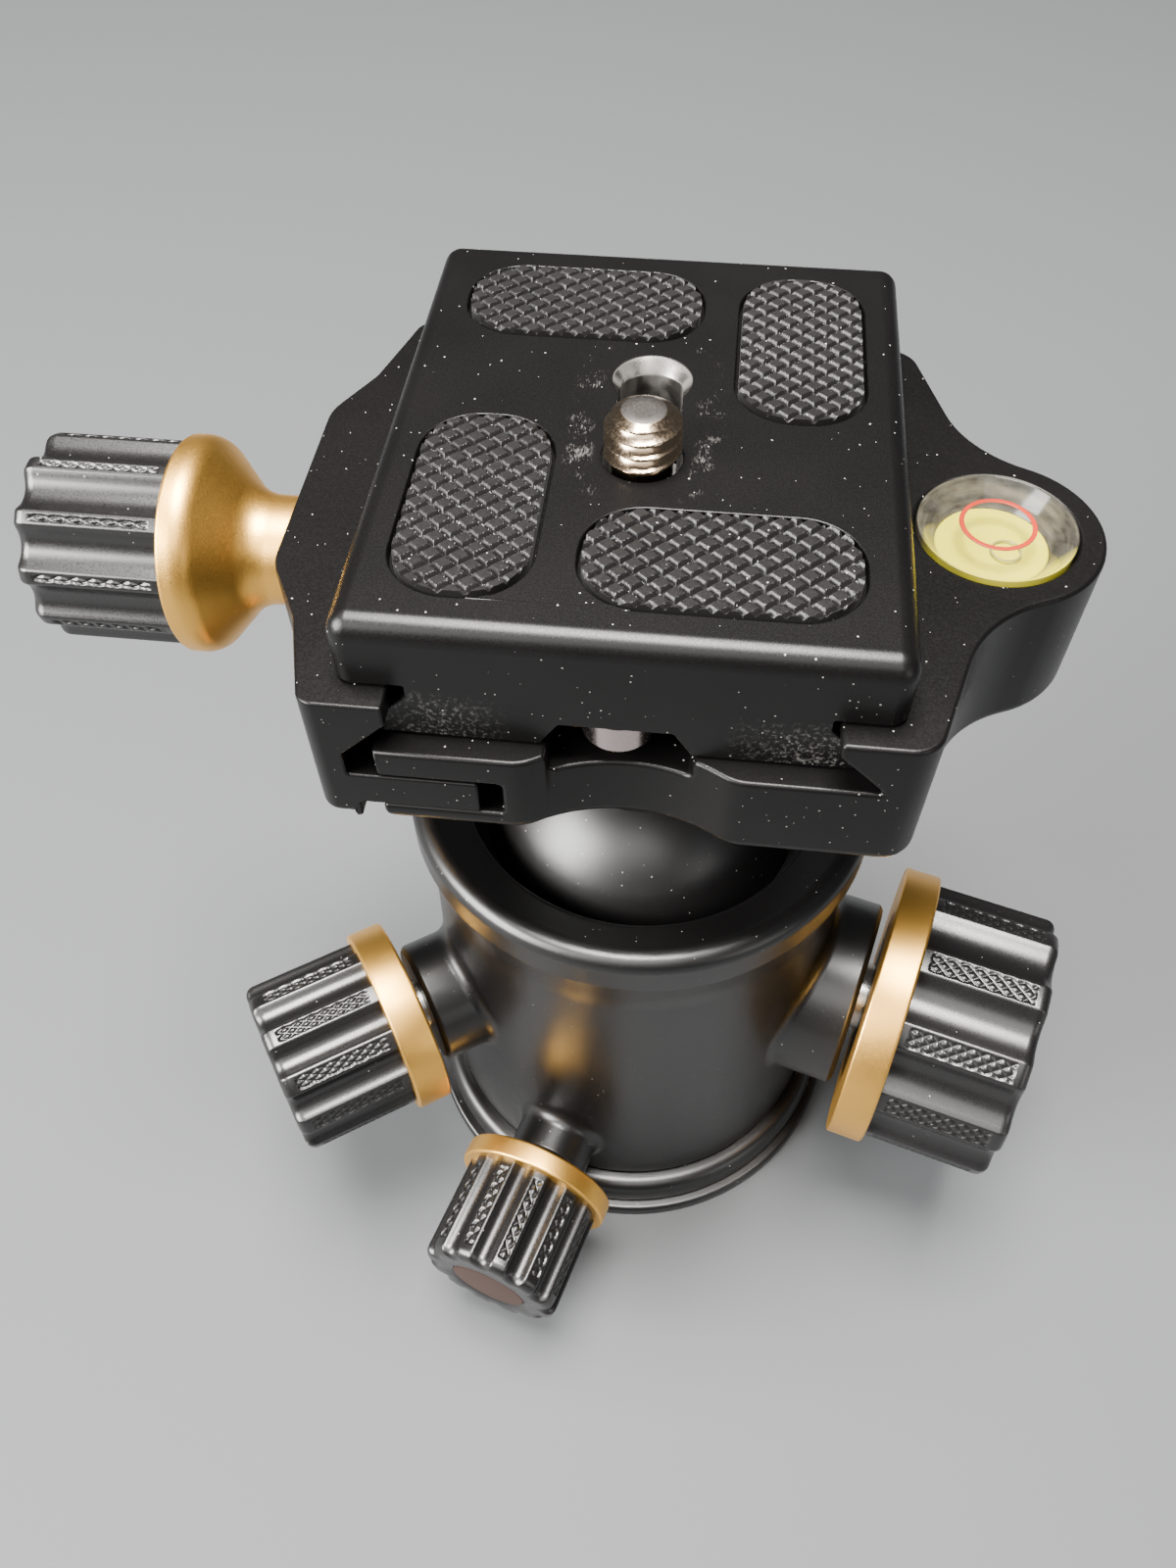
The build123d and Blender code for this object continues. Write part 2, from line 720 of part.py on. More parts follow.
def make_clamp_knob():
    """Draw screw, gold cone, fluted grip and end disc, on -X."""
    place = along_x(0, clamp_y, draw_z)
    face = -jaw_hump_x + run_gap
    cone_end = face + cone_l
    cone = turned([
        (0, face), (cone_neck_r, face), (cone_neck_r, face + cone_neck_l),
        (cone_rim_r, face + cone_rise_l), (cone_rim_r, cone_end), (0, cone_end),
    ], [0, 0, cone_hollow_round, cone_shoulder_round, ring_edge, 0])
    hub_r = clamp_grip_r * hub_share
    cone -= rod(draw_r, 0, cone_end + overrun)
    cone -= rod(hub_r, cone_end - cone_hub_l, cone_end + overrun)
    screw_end = cone_end + clamp_grip_h / 2
    grip = make_grip(
        clamp_grip_r, cone_end, clamp_grip_h, clamp_flutes, clamp_flute_depth,
        clamp_land_share, clamp_turn_share, hub_r, cone_hub_l, draw_r, screw_end,
    )
    grip -= rod(draw_r * screw_head_share, screw_end - screw_head_h, screw_end)
    end = cone_end + clamp_grip_h
    return {
        "draw_screw": place * make_knob_screw(draw_r, -draw_tip_x, screw_end),
        "clamp_knob_cone": place * cone,
        "clamp_knob_grip": place * grip,
        "clamp_knob_end_disc": place * rod(clamp_grip_r * disc_share, end - disc_h, end),
    }


# Quick-release plate

pad_places = {
    "pad_front": (pad_row_x, -pad_row_y, 0),
    "pad_back": (-pad_row_x, pad_row_y, 0),
    "pad_left": (-pad_side_x, -pad_side_y, 90),
    "pad_right": (pad_side_x, pad_side_y, 90),
}


def obround(radius, length, low, high):
    """Slot-shaped solid along Y, from the screw's rest place backwards."""
    ends = rod(radius, low, high) + Pos(0, length, 0) * rod(radius, low, high)
    return ends + block(-radius, radius, 0, length, low, high)


def pad_solid(grow, low, high):
    flat = RectangleRounded(pad_l + 2 * grow, pad_w + 2 * grow, pad_corner + grow)
    return extrude(Pos(0, 0, low) * flat, high - low)


def make_camera_plate():
    slab = extrude(Pos(0, 0, slab_low) * RectangleRounded(plate_w, plate_l, plate_corner), slab_h)
    slab = fillet(edges_at(slab, plate_top_z), plate_round)
    neck, foot = tail_neck_w / 2, tail_w / 2
    neck_z = slab_low - tail_neck_h
    edge_z = plate_low + tail_edge_h
    tail = prism_y([
        (-neck, slab_low), (-neck, neck_z), (-foot, edge_z), (-foot, plate_low),
        (foot, plate_low), (foot, edge_z), (neck, neck_z), (neck, slab_low),
    ], -plate_l / 2, plate_l / 2)
    ceiling = plate_low + channel_depth
    channel = prism_y([
        (-channel_mouth_w / 2, plate_low - overrun), (-channel_mouth_w / 2, plate_low),
        (-channel_w / 2, ceiling), (channel_w / 2, ceiling),
        (channel_mouth_w / 2, plate_low), (channel_mouth_w / 2, plate_low - overrun),
    ], -plate_l / 2 - overrun, plate_l / 2 + overrun)
    plate = slab + tail - channel
    at_screw = Pos(0, screw_y, 0)
    rim = screw_shank_r + slot_side_gap
    plate -= at_screw * obround(screw_head_r + head_side_gap, screw_travel, plate_low - overrun, ledge_low)
    plate -= at_screw * obround(rim, screw_travel, plate_low, plate_top_z + overrun)
    plate -= at_screw * rod(screw_r + entry_side_gap, plate_low, plate_top_z + overrun)
    bevel = turned([
        (0, plate_top_z - slot_bevel_depth), (rim - slot_bevel_shift, plate_top_z - slot_bevel_depth),
        (rim + slot_bevel_w, plate_top_z), (0, plate_top_z),
    ])
    plate -= Pos(0, screw_y + screw_travel + slot_bevel_shift, 0) * bevel
    seat = pad_solid(pad_side_gap, plate_top_z - pad_sink, plate_top_z + overrun)
    for x, y, turn in pad_places.values():
        plate -= Pos(x, y, 0) * Rot(0, 0, turn) * seat
    for side in (-1, 1):
        shank = rod(stop_shank_r, ceiling - overrun, ceiling + stop_shank_l)
        plate -= Pos(0, side * (plate_l / 2 - stop_r), 0) * shank
    return Pos(plate_x, plate_y, 0) * plate


def make_pads():
    low = plate_top_z - pad_sink
    return {
        name: Pos(plate_x + x, plate_y + y, 0) * Rot(0, 0, turn) * pad_solid(0, low, low + pad_h)
        for name, (x, y, turn) in pad_places.items()
    }


def make_stop_pins():
    ceiling = plate_low + channel_depth
    pin = rod(stop_r, plate_low - stop_drop, ceiling)
    pin = chamfer(edges_at(pin, plate_low - stop_drop), stop_edge)
    pin += rod(stop_shank_r, ceiling, ceiling + stop_shank_l)
    at_end = plate_l / 2 - stop_r
    pair = [Pos(plate_x, plate_y + side * at_end, 0) * pin for side in (-1, 1)]
    return Compound(children=pair)


def make_screw_washer():
    washer = make_flat_washer(screw_head_r, screw_shank_r + run_gap, washer_low_z, washer_top_z)
    return Pos(plate_x, plate_y + screw_y, 0) * washer


def make_camera_screw():
    head_top = washer_low_z - run_gap
    head_low = head_top - screw_head_h
    thread_low = plate_top_z + run_gap
    tip = plate_top_z + screw_proud
    head = rod(screw_head_r, head_low, head_top)
    head = chamfer(head.edges(), screw_head_edge)
    screw = head + rod(screw_shank_r, head_top, thread_low)
    screw += turned([
        (0, thread_low), (screw_r, thread_low), (screw_r, tip - screw_tip_h), (screw_tip_r, tip), (0, tip),
    ])
    half_w = screw_slot_w / 2
    screw -= block(-half_w, half_w, -screw_head_r, screw_head_r, head_low, head_low + screw_slot_depth)
    return Pos(plate_x, plate_y + screw_y, 0) * screw


pieces = {
    "base_disc": make_base_disc(),
    "pan_glide_ring": make_glide_ring(),
    "spindle_glide_washer": make_flat_washer(
        washer_r, spindle_neck_r, web_top + run_gap, keeper_z
    ),
    "spindle_keeper": make_flat_washer(washer_r, bolt_r, keeper_z, keeper_z + keeper_h),
    "spindle_bolt": make_spindle_bolt(),
    "housing": make_housing(),
    "housing_floor": make_housing_floor(),
    "upper_seat": make_upper_seat(),
    "lower_cup": make_lower_cup(),
    "ball": make_ball(),
    "main_wedge_pin": make_main_pin(),
    "friction_pad": make_friction_pad(),
    "pan_shoe": make_pan_shoe(),
    "neck": make_neck(),
    "clamp_base": make_clamp_base(),
    "clamp_bolt": make_clamp_bolt(),
    "movable_jaw": make_movable_jaw(),
    "jaw_springs": make_jaw_springs(),
    "camera_plate": make_camera_plate(),
    "stop_pins": make_stop_pins(),
    "screw_washer": make_screw_washer(),
    "camera_screw": make_camera_screw(),
}
pieces.update(side_knob(
    "main", main_azimuth, main_z, main_screw_r, main_ring_r, main_ring_h, main_grip_r, main_grip_h,
    main_flutes, main_flute_depth, main_land_share, main_turn_share,
))
pieces.update(side_knob(
    "friction", friction_azimuth, friction_z, friction_screw_r, friction_ring_r, friction_ring_h,
    friction_grip_r, friction_grip_h, friction_flutes, friction_flute_depth, friction_land_share,
    friction_turn_share,
))
pieces.update(side_knob(
    "pan", pan_azimuth, pan_z, pan_screw_r, pan_ring_r, pan_ring_h, pan_grip_r, pan_grip_h,
    pan_flutes, pan_flute_depth, pan_land_share, pan_turn_share,
))
pieces.update(make_clamp_knob())
pieces.update(make_level())
pieces.update(make_pads())

os.makedirs("parts", exist_ok=True)
for name, solid in pieces.items():
    export_step(solid, os.path.join("parts", name + ".step"))
print(len(pieces), "pieces")
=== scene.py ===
import math

import bmesh
import bpy
import numpy as np
from mathutils import Matrix


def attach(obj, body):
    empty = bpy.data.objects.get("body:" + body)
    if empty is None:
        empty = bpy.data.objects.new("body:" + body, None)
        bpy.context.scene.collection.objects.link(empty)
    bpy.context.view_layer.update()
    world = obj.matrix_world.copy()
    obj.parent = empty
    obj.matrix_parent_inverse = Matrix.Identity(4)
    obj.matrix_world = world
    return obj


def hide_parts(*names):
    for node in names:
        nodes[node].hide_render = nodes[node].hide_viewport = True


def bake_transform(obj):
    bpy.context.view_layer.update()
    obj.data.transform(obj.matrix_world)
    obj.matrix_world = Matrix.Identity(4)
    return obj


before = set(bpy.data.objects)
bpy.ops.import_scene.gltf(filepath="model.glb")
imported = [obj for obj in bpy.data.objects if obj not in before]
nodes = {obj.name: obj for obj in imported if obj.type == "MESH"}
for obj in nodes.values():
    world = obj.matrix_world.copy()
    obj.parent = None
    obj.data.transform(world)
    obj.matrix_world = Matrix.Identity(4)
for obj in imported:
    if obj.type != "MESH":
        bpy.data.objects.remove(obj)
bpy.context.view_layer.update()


# The view and the light. A phone held close above the front looks down at the head, which stands on a
# plain pale top; a window lies to the left in front, and the room's ceiling light is nearly overhead.
view_m = (0.0039178, -0.0814556, 0.1650494)
view_yaw, view_pitch, view_roll = 0.1189, 0.9212, -0.0099
focal_px, tall_px, sensor_mm, near_m = 1263.9, 1600, 36, 0.005


def facing(across, rise, back, place):
    """Matrix of an object at a place, whose own X, Y and Z point across, up and back."""
    return Matrix([(across[n], rise[n], back[n], place[n]) for n in range(3)] + [(0, 0, 0, 1)])


ahead = np.array([
    -math.sin(view_yaw) * math.cos(view_pitch), math.cos(view_yaw) * math.cos(view_pitch),
    -math.sin(view_pitch),
])
level_right = np.array([math.cos(view_yaw), math.sin(view_yaw), 0.0])
level_up = np.cross(level_right, ahead)
right = math.cos(view_roll) * level_right + math.sin(view_roll) * level_up
up = -math.sin(view_roll) * level_right + math.cos(view_roll) * level_up
lens = bpy.data.cameras.new("phone_view")
lens.sensor_fit = "VERTICAL"
lens.sensor_height = sensor_mm
lens.lens = focal_px * sensor_mm / tall_px
lens.clip_start = near_m
phone = bpy.data.objects.new("phone_view", lens)
phone.matrix_world = facing(right, up, -ahead, view_m)
bpy.context.scene.collection.objects.link(phone)
bpy.context.scene.camera = phone

head_middle_m, nearly_y = (0, 0, 0.06), (0, 1, 0.01)


def soft_light(name, place, wide, deep, watts, tint):
    """Rectangular light at a place, turned so that its -Z looks at the middle of the head."""
    lamp = bpy.data.lights.new(name, "AREA")
    lamp.shape = "RECTANGLE"
    lamp.size, lamp.size_y = wide, deep
    lamp.energy = watts
    lamp.color = tint
    back = np.array(place) - head_middle_m
    back = back / np.linalg.norm(back)
    side = np.cross(nearly_y, back)
    side = side / np.linalg.norm(side)
    holder = bpy.data.objects.new(name, lamp)
    holder.matrix_world = facing(side, np.cross(back, side), back, place)
    bpy.context.scene.collection.objects.link(holder)


soft_light("window", (-0.60, -0.35, 0.46), 0.46, 0.46, watts=30.0, tint=(1.0, 0.985, 0.96))
soft_light("ceiling", (-0.04, 0.02, 0.90), 0.40, 0.40, watts=42.0, tint=(1.0, 0.97, 0.93))
soft_light("front_ceiling", (-0.10, -0.60, 0.80), 0.90, 0.45, watts=5.0, tint=(1.0, 0.98, 0.95))
soft_light("far_right", (0.55, -0.46, 0.26), 0.30, 0.30, watts=0.7, tint=(1.0, 0.98, 0.96))

room = bpy.data.worlds.new("bright_room")
room.use_nodes = True
room.node_tree.nodes["Background"].inputs["Color"].default_value = (0.84, 0.86, 0.90, 1)
room.node_tree.nodes["Background"].inputs["Strength"].default_value = 0.12
bpy.context.scene.world = room

floor_mesh = bpy.data.meshes.new("pale_top")
half_m = 1.6
floor_corners = [(-half_m, -half_m, 0), (half_m, -half_m, 0), (half_m, half_m, 0), (-half_m, half_m, 0)]
floor_mesh.from_pydata(floor_corners, [], [(0, 1, 2, 3)])
floor = bpy.data.objects.new("pale_top", floor_mesh)
bpy.context.scene.collection.objects.link(floor)
floor_skin = bpy.data.materials.new("pale_top")
floor_skin.use_nodes = True
floor_skin.node_tree.nodes["Principled BSDF"].inputs["Base Color"].default_value = (0.080, 0.084, 0.088, 1)
floor_skin.node_tree.nodes["Principled BSDF"].inputs["Roughness"].default_value = 0.7
floor.data.materials.append(floor_skin)


# Base disc and spindle. One turned piece of black anodised aluminium: a thin flange on the tripod, a
# groove, a rounded band, and the spindle that the barrel turns on, with the tripod thread cut in below.
def rounded(corners, step=0.16):
    """Closed outline through corners (x, y, r), where each corner becomes an arc of radius r, or stays
    sharp if r is 0. An arc at a corner with half angle h starts r / tan(h) before it, and its centre is
    r / sin(h) along the bisector; its points are a step of angle apart."""
    corners = np.array(corners, float)
    points = corners[:, :2]
    runs = []
    for before, here, after, r in zip(np.roll(points, 1, 0), points, np.roll(points, -1, 0), corners[:, 2]):
        if r == 0:
            runs.append(here[None])
            continue
        back = (before - here) / np.linalg.norm(before - here)
        on = (after - here) / np.linalg.norm(after - here)
        half = math.acos(np.clip(back @ on, -1, 1)) / 2
        middle = here + (back + on) / np.linalg.norm(back + on) * r / math.sin(half)
        first = here + back * r / math.tan(half) - middle
        last = here + on * r / math.tan(half) - middle
        turn = math.atan2(first[0] * last[1] - first[1] * last[0], first @ last)
        count = max(3, math.ceil(abs(turn) / step))
        angles = math.atan2(first[1], first[0]) + turn * np.linspace(0, 1, count)
        runs.append(middle + r * np.stack([np.cos(angles), np.sin(angles)], 1))
    return np.vstack(runs)


def closed(name, mesh, crease):
    """Object of a closed mesh: doubles merged, normals outwards, smooth but for edges past the crease."""
    merge_m, sliver_m = 2e-7, 1e-7
    work = bmesh.new()
    work.from_mesh(mesh)
    bmesh.ops.remove_doubles(work, verts=work.verts, dist=merge_m)
    bmesh.ops.dissolve_degenerate(work, edges=work.edges, dist=sliver_m)
    bmesh.ops.recalc_face_normals(work, faces=work.faces)
    work.to_mesh(mesh)
    work.free()
    mesh.polygons.foreach_set("use_smooth", [True] * len(mesh.polygons))
    mesh.set_sharp_from_angle(angle=math.radians(crease))
    piece = bpy.data.objects.new(name, mesh)
    bpy.context.scene.collection.objects.link(piece)
    return piece


def skin(name, grid, ring_v=True, crease=35):
    """Mesh of a grid of points in millimetres, (u, v, xyz). Quad (i, j) joins points i and i+1 with
    j and j+1; i runs round in a ring, and so does j unless told otherwise."""
    count_u, count_v = grid.shape[:2]
    i, j = np.meshgrid(np.arange(count_u), np.arange(count_v if ring_v else count_v - 1), indexing="ij")
    i, j = i.ravel(), j.ravel()
    i_on, j_on = (i + 1) % count_u, (j + 1) % count_v
    quads = np.stack([i * count_v + j, i_on * count_v + j, i_on * count_v + j_on, i * count_v + j_on], 1)
    mesh = bpy.data.meshes.new(name)
    mesh.from_pydata((grid.reshape(-1, 3) / 1000).tolist(), [], quads.tolist())
    return closed(name, mesh, crease)


def around(steps):
    """Column of angles, once round in so many steps."""
    return np.linspace(0, 2 * np.pi, steps, endpoint=False)[:, None]


def polar(r, a, z):
    """Grid of points at radius r, angle a and height z: x = r cos a, y = r sin a."""
    return np.stack(np.broadcast_arrays(r * np.cos(a), r * np.sin(a), z), 2)


def turned(outline, segments):
    """Grid of a closed outline of (radius, height) turned about Z."""
    return polar(outline[None, :, 0], around(segments), outline[None, :, 1])


def zigzag(x):
    """0 at whole numbers, 1 half way between them, and straight from one to the other."""
    return 1 - np.abs(2 * (x % 1) - 1)


def seat(piece, body, slot, finish, *stands_for):
    """Gives a piece its finish and body, and hides the CAD nodes that it stands for. The slot is not used.
    """
    piece.data.materials.clear()
    piece.data.materials.append(finish)
    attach(piece, body)
    if stands_for:
        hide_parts(*stands_for)


def add(tree, kind, settings=(), **inputs):
    """Outputs of a new node in a tree; settings are its own options, and inputs, named or i and a
    number, are values or other nodes' outputs."""
    node = tree.nodes.new(kind)
    for option, value in dict(settings).items():
        setattr(node, option, value)
    for socket, value in inputs.items():
        numbered = socket[0] == "i" and socket[1:].isdigit()
        target = node.inputs[int(socket[1:]) if numbered else socket.replace("_", " ")]
        if isinstance(value, bpy.types.NodeSocket):
            tree.links.new(value, target)
        else:
            target.default_value = value
    return node.outputs


def blank_finish(name):
    """New material, its tree, its shader, and the outputs of its texture coordinates."""
    finish = bpy.data.materials.new(name)
    finish.use_nodes = True
    tree = finish.node_tree
    return finish, tree, tree.nodes["Principled BSDF"], add(tree, "ShaderNodeTexCoord")


def calc(tree, operation, *values):
    """Result of a Math operation on one to three values."""
    numbered = {f"i{n}": value for n, value in enumerate(values)}
    return add(tree, "ShaderNodeMath", {"operation": operation}, **numbered)[0]


def product(tree, first, *others):
    """All values multiplied."""
    for other in others:
        first = calc(tree, "MULTIPLY", first, other)
    return first


def ramp(tree, value, start, end, low=0.0, high=1.0, smooth=False):
    """Goes from low to high while the value goes from start to end, and stays level outside them."""
    way = {"interpolation_type": "SMOOTHSTEP" if smooth else "LINEAR"}
    return add(tree, "ShaderNodeMapRange", way, Value=value, i1=start, i2=end, i3=low, i4=high)[0]


def blended(tree, share, first, second):
    """Colour between the first, at share 0, and the second, at share 1."""
    return add(tree, "ShaderNodeMix", {"data_type": "RGBA"}, i0=share, i6=first, i7=second)[2]


def noise(tree, where, per_m, detail, rough=0.5):
    """Noise from 0 to 1 with so many waves a metre."""
    return add(tree, "ShaderNodeTexNoise", Vector=where, Scale=per_m, Detail=detail, Roughness=rough)["Fac"]


noise_low, noise_high = 0.3, 0.7


def grained(tree, shader, where, rough, grain_mm, relief_mm):
    """Lets roughness, 0.05 either way, and height follow a fine noise of the grain's size."""
    fine = noise(tree, where, 1000 / grain_mm, 2.0)
    matt = ramp(tree, fine, noise_low, noise_high, rough - 0.05, rough + 0.05)
    relief = add(tree, "ShaderNodeBump", Height=fine, Strength=0.6, Distance=relief_mm / 1000)
    tree.links.new(matt, shader.inputs["Roughness"])
    tree.links.new(relief[0], shader.inputs["Normal"])


def black_finish(name, shade, rough, grain_mm, relief_mm, dusty=1.0, specular=0.3):
    """Grained black anodising. Its colour is the shade under a slow cloud, a little redder than grey.
    Dust lies on it as pale dots, fainter on faces that look down: a dot shows where the distance to the
    nearest of scattered points is under a random radius, at a random share of the points."""
    cloud_per_m, darker, lighter, redder = 90.0, 0.8, 1.25, 1.12
    dust_per_m, widest_dot, dust_share, dust_grey = 1400.0, 0.12, 0.30, (0.32, 0.31, 0.29, 1)
    finish, tree, shader, where = blank_finish(name)
    cloud = noise(tree, where["Object"], cloud_per_m, 3.0)
    tone = ramp(tree, cloud, noise_low, noise_high, darker * shade, lighter * shade)
    dark = add(tree, "ShaderNodeCombineColor", Red=product(tree, tone, redder), Green=tone, Blue=tone)[0]
    specks = add(tree, "ShaderNodeTexVoronoi", Vector=where["Object"], Scale=dust_per_m)
    lots = add(tree, "ShaderNodeSeparateColor", Color=specks["Color"])
    dot = calc(tree, "LESS_THAN", specks["Distance"], product(tree, lots[0], widest_dot))
    seldom = calc(tree, "GREATER_THAN", lots[1], 1 - dust_share * dusty)
    looks = add(tree, "ShaderNodeSeparateXYZ", Vector=where["Normal"])
    upward = ramp(tree, looks["Z"], -0.3, 0.4, 0.25, 1.0)
    colour = blended(tree, product(tree, dot, seldom, upward), dark, dust_grey)
    tree.links.new(colour, shader.inputs["Base Color"])
    grained(tree, shader, where["Object"], rough, grain_mm, relief_mm)
    shader.inputs["Specular IOR Level"].default_value = specular
    return finish


barrel_black = black_finish(
    "barrel_black", 0.0022, rough=0.34, grain_mm=0.16, relief_mm=0.002, specular=0.65,
)
thread_r, thread_pitch, thread_depth, socket_h, lead_in_h = 4.7625, 1.5875, 0.86, 9.0, 0.8
base_steps, socket_rows = 96, 60
socket_z = np.linspace(0.0, socket_h, socket_rows)[None]
crest = zigzag(socket_z / thread_pitch - around(base_steps) / (2 * np.pi))
socket_r = thread_r - thread_depth * crest * np.minimum(1, socket_z / lead_in_h)
socket_wall = polar(socket_r, around(base_steps), socket_z)
flange_r, groove_r, band_r, spindle_r, waist_r, post_r, hole_r = 27.6, 26.0, 26.5, 14.0, 13.2, 7.5, 3.0
flange_z, groove_z, band_z, waist_low, waist_high = 1.9, 2.4, 6.0, 12.0, 18.0
shoulder_z, post_z, hole_z, hole_tip_r = 19.0, 22.65, 11.2, 0.02
disc_side = rounded([
    (flange_r, 0, 0.25), (flange_r, flange_z, 0.5), (groove_r, flange_z, 0.1), (groove_r, groove_z, 0.1),
    (band_r, groove_z, 0.2), (band_r, band_z, 1.8), (spindle_r, band_z, 0), (spindle_r, waist_low, 0),
    (waist_r, waist_low, 0), (waist_r, waist_high, 0), (spindle_r, waist_high, 0),
    (spindle_r, shoulder_z, 0), (post_r, shoulder_z, 0), (post_r, post_z, 0), (hole_r, post_z, 0),
    (hole_r, hole_z, 0), (hole_tip_r, socket_h, 0),
])
base_grid = np.concatenate([turned(disc_side, base_steps), socket_wall[:, ::-1]], 1)
base_disc = skin("base_disc_turned", base_grid)
seat(base_disc, "base", "black_anodised", barrel_black, "base_disc")


# Barrel. A turned tube of black anodised aluminium with a dished collar, three bosses for the side
# knobs and a slot at the back for upright pictures; the plastic seats inside it grip the ball.
def softened(node, name, width_mm):
    """Copy of a CAD solid with its doubles merged and flat faces joined, whose sharp edges are rolled
    over by a bevel of the given width, but for those at a face corner too slim to hold it; its normals
    follow the large faces."""
    flat, sharp, slim, all_smooth_degrees = math.radians(0.6), math.radians(38), math.radians(30), 180
    mesh = nodes[node].data.copy()
    piece = closed(name, mesh, all_smooth_degrees)
    work = bmesh.new()
    work.from_mesh(mesh)
    bmesh.ops.dissolve_limit(work, angle_limit=flat, verts=work.verts, edges=work.edges)
    rolled = work.edges.layers.float.new("bevel_weight_edge")
    for edge in work.edges:
        if len(edge.link_faces) == 2 and edge.calc_face_angle() > sharp:
            corners = [loop for face in edge.link_faces for loop in face.loops if loop.vert in edge.verts]
            edge[rolled] = float(min(loop.calc_angle() for loop in corners) > slim)
    work.to_mesh(mesh)
    work.free()
    roll = piece.modifiers.new("rolled_edges", "BEVEL")
    roll.limit_method = "WEIGHT"
    roll.width = width_mm / 1000
    roll.segments = 3
    roll.miter_outer = "MITER_ARC"
    roll.use_clamp_overlap = False
    even = piece.modifiers.new("even_normals", "WEIGHTED_NORMAL")
    even.keep_sharp = True
    return piece


barrel = softened("housing", "barrel_with_bosses", width_mm=0.14)
seat(barrel, "barrel", "black_anodised", barrel_black, "housing")


def dress(finish, *names):
    """Gives CAD nodes that stay as they are their finish."""
    for node in names:
        nodes[node].data.materials.clear()
        nodes[node].data.materials.append(finish)


def plain_finish(name, colour, metallic, rough, grain_mm, relief_mm, cloudiness=0.15):
    """Grained finish of one colour that a slow noise makes lighter and darker."""
    finish, tree, shader, where = blank_finish(name)
    low = tuple(c * (1 - cloudiness) for c in colour) + (1,)
    high = tuple(min(1, c * (1 + cloudiness)) for c in colour) + (1,)
    cloud_per_m = 140.0
    tone = ramp(tree, noise(tree, where["Object"], cloud_per_m, 4.0), noise_low, noise_high)
    tree.links.new(blended(tree, tone, low, high), shader.inputs["Base Color"])
    grained(tree, shader, where["Object"], rough, grain_mm, relief_mm)
    shader.inputs["Metallic"].default_value = metallic
    return finish


turned_steel = plain_finish("turned_steel", (0.50, 0.49, 0.47), 1.0, 0.30, grain_mm=0.10, relief_mm=0.003)
shoe_brass = plain_finish("shoe_brass", (0.75, 0.52, 0.22), 1.0, 0.32, grain_mm=0.10, relief_mm=0.003)
seat_plastic = plain_finish("seat_plastic", (0.70, 0.68, 0.62), 0.0, 0.45, grain_mm=0.20, relief_mm=0.004)
seat_black = plain_finish("seat_black", (0.012, 0.011, 0.011), 0.0, 0.5, grain_mm=0.20, relief_mm=0.004)
dress(barrel_black, "housing_floor")
dress(seat_black, "upper_seat")
dress(seat_plastic, "lower_cup", "friction_pad", "pan_glide_ring", "spindle_glide_washer")
dress(turned_steel, "main_wedge_pin", "spindle_keeper", "spindle_bolt", "clamp_bolt", "screw_washer")
dress(shoe_brass, "pan_shoe")


# Ball and neck. The ball is turned from aluminium, blasted to an even bloom and anodised black; the
# neck stands on it with a flare under the clamp, held by the bolt through its middle.
ball_black = black_finish(
    "ball_black", 0.004, rough=0.38, grain_mm=0.10, relief_mm=0.006, dusty=1.6, specular=0.75,
)
ball_r, ball_z, bolt_r, bolt_low, ball_steps, ball_rows = 18.0, 47.5, 3.05, 55.7, 180, 90
latitude = np.linspace(-math.pi / 2, math.acos(bolt_r / ball_r), ball_rows)
ball_side = np.stack([ball_r * np.cos(latitude), ball_z + ball_r * np.sin(latitude)], 1)
ball_side = np.vstack([ball_side, [(bolt_r, bolt_low), (0.0, bolt_low)]])
ball = skin("ball_turned", turned(ball_side, ball_steps))
seat(ball, "ball", "black_blasted", ball_black, "ball")

neck_r, neck_hole_r, flare_r, neck_top, neck_low = 8.0, 3.0, 11.0, 81.1, 70.0
flare_rim_h, flare_h, over_ball, neck_steps, dip_rows = 1.2, 4.0, 0.05, 96, 12
dip_r = ball_r + over_ball
dip = np.linspace(math.acos(neck_r / dip_r), math.acos(neck_hole_r / dip_r), dip_rows)
under = np.stack([dip_r * np.cos(dip), ball_z + dip_r * np.sin(dip)], 1)
flare = rounded([
    (neck_hole_r, neck_top, 0), (flare_r, neck_top, 0.2), (flare_r, neck_top - flare_rim_h, 0.3),
    (neck_r, neck_top - flare_h, 2.2), (neck_r, neck_low, 0),
])
neck = skin("neck_turned", turned(np.vstack([under[::-1], flare]), neck_steps))
seat(neck, "clamp", "black_anodised", barrel_black, "neck")


# Side knobs. Each has a steel screw in a fluted grip of black anodised aluminium, with a knurled panel
# on every land between its flutes, a blasted gold ring against the barrel and a disc pressed in its end.
hub_share, disc_share, recess_h, disc_inset = 0.48, 0.55, 0.8, 0.05


def placed(points, origin, across, rise, out):
    """Points (x, y, z) of a piece drawn about its own axis, moved to x across + y rise + z out."""
    return np.array(origin) + points @ np.array([across, rise, out], float)


def lathe(name, outline, place, segments=96):
    """Piece of a closed outline of (radius, height) turned about the axis of its place."""
    return skin(name, placed(turned(outline, segments), *place))


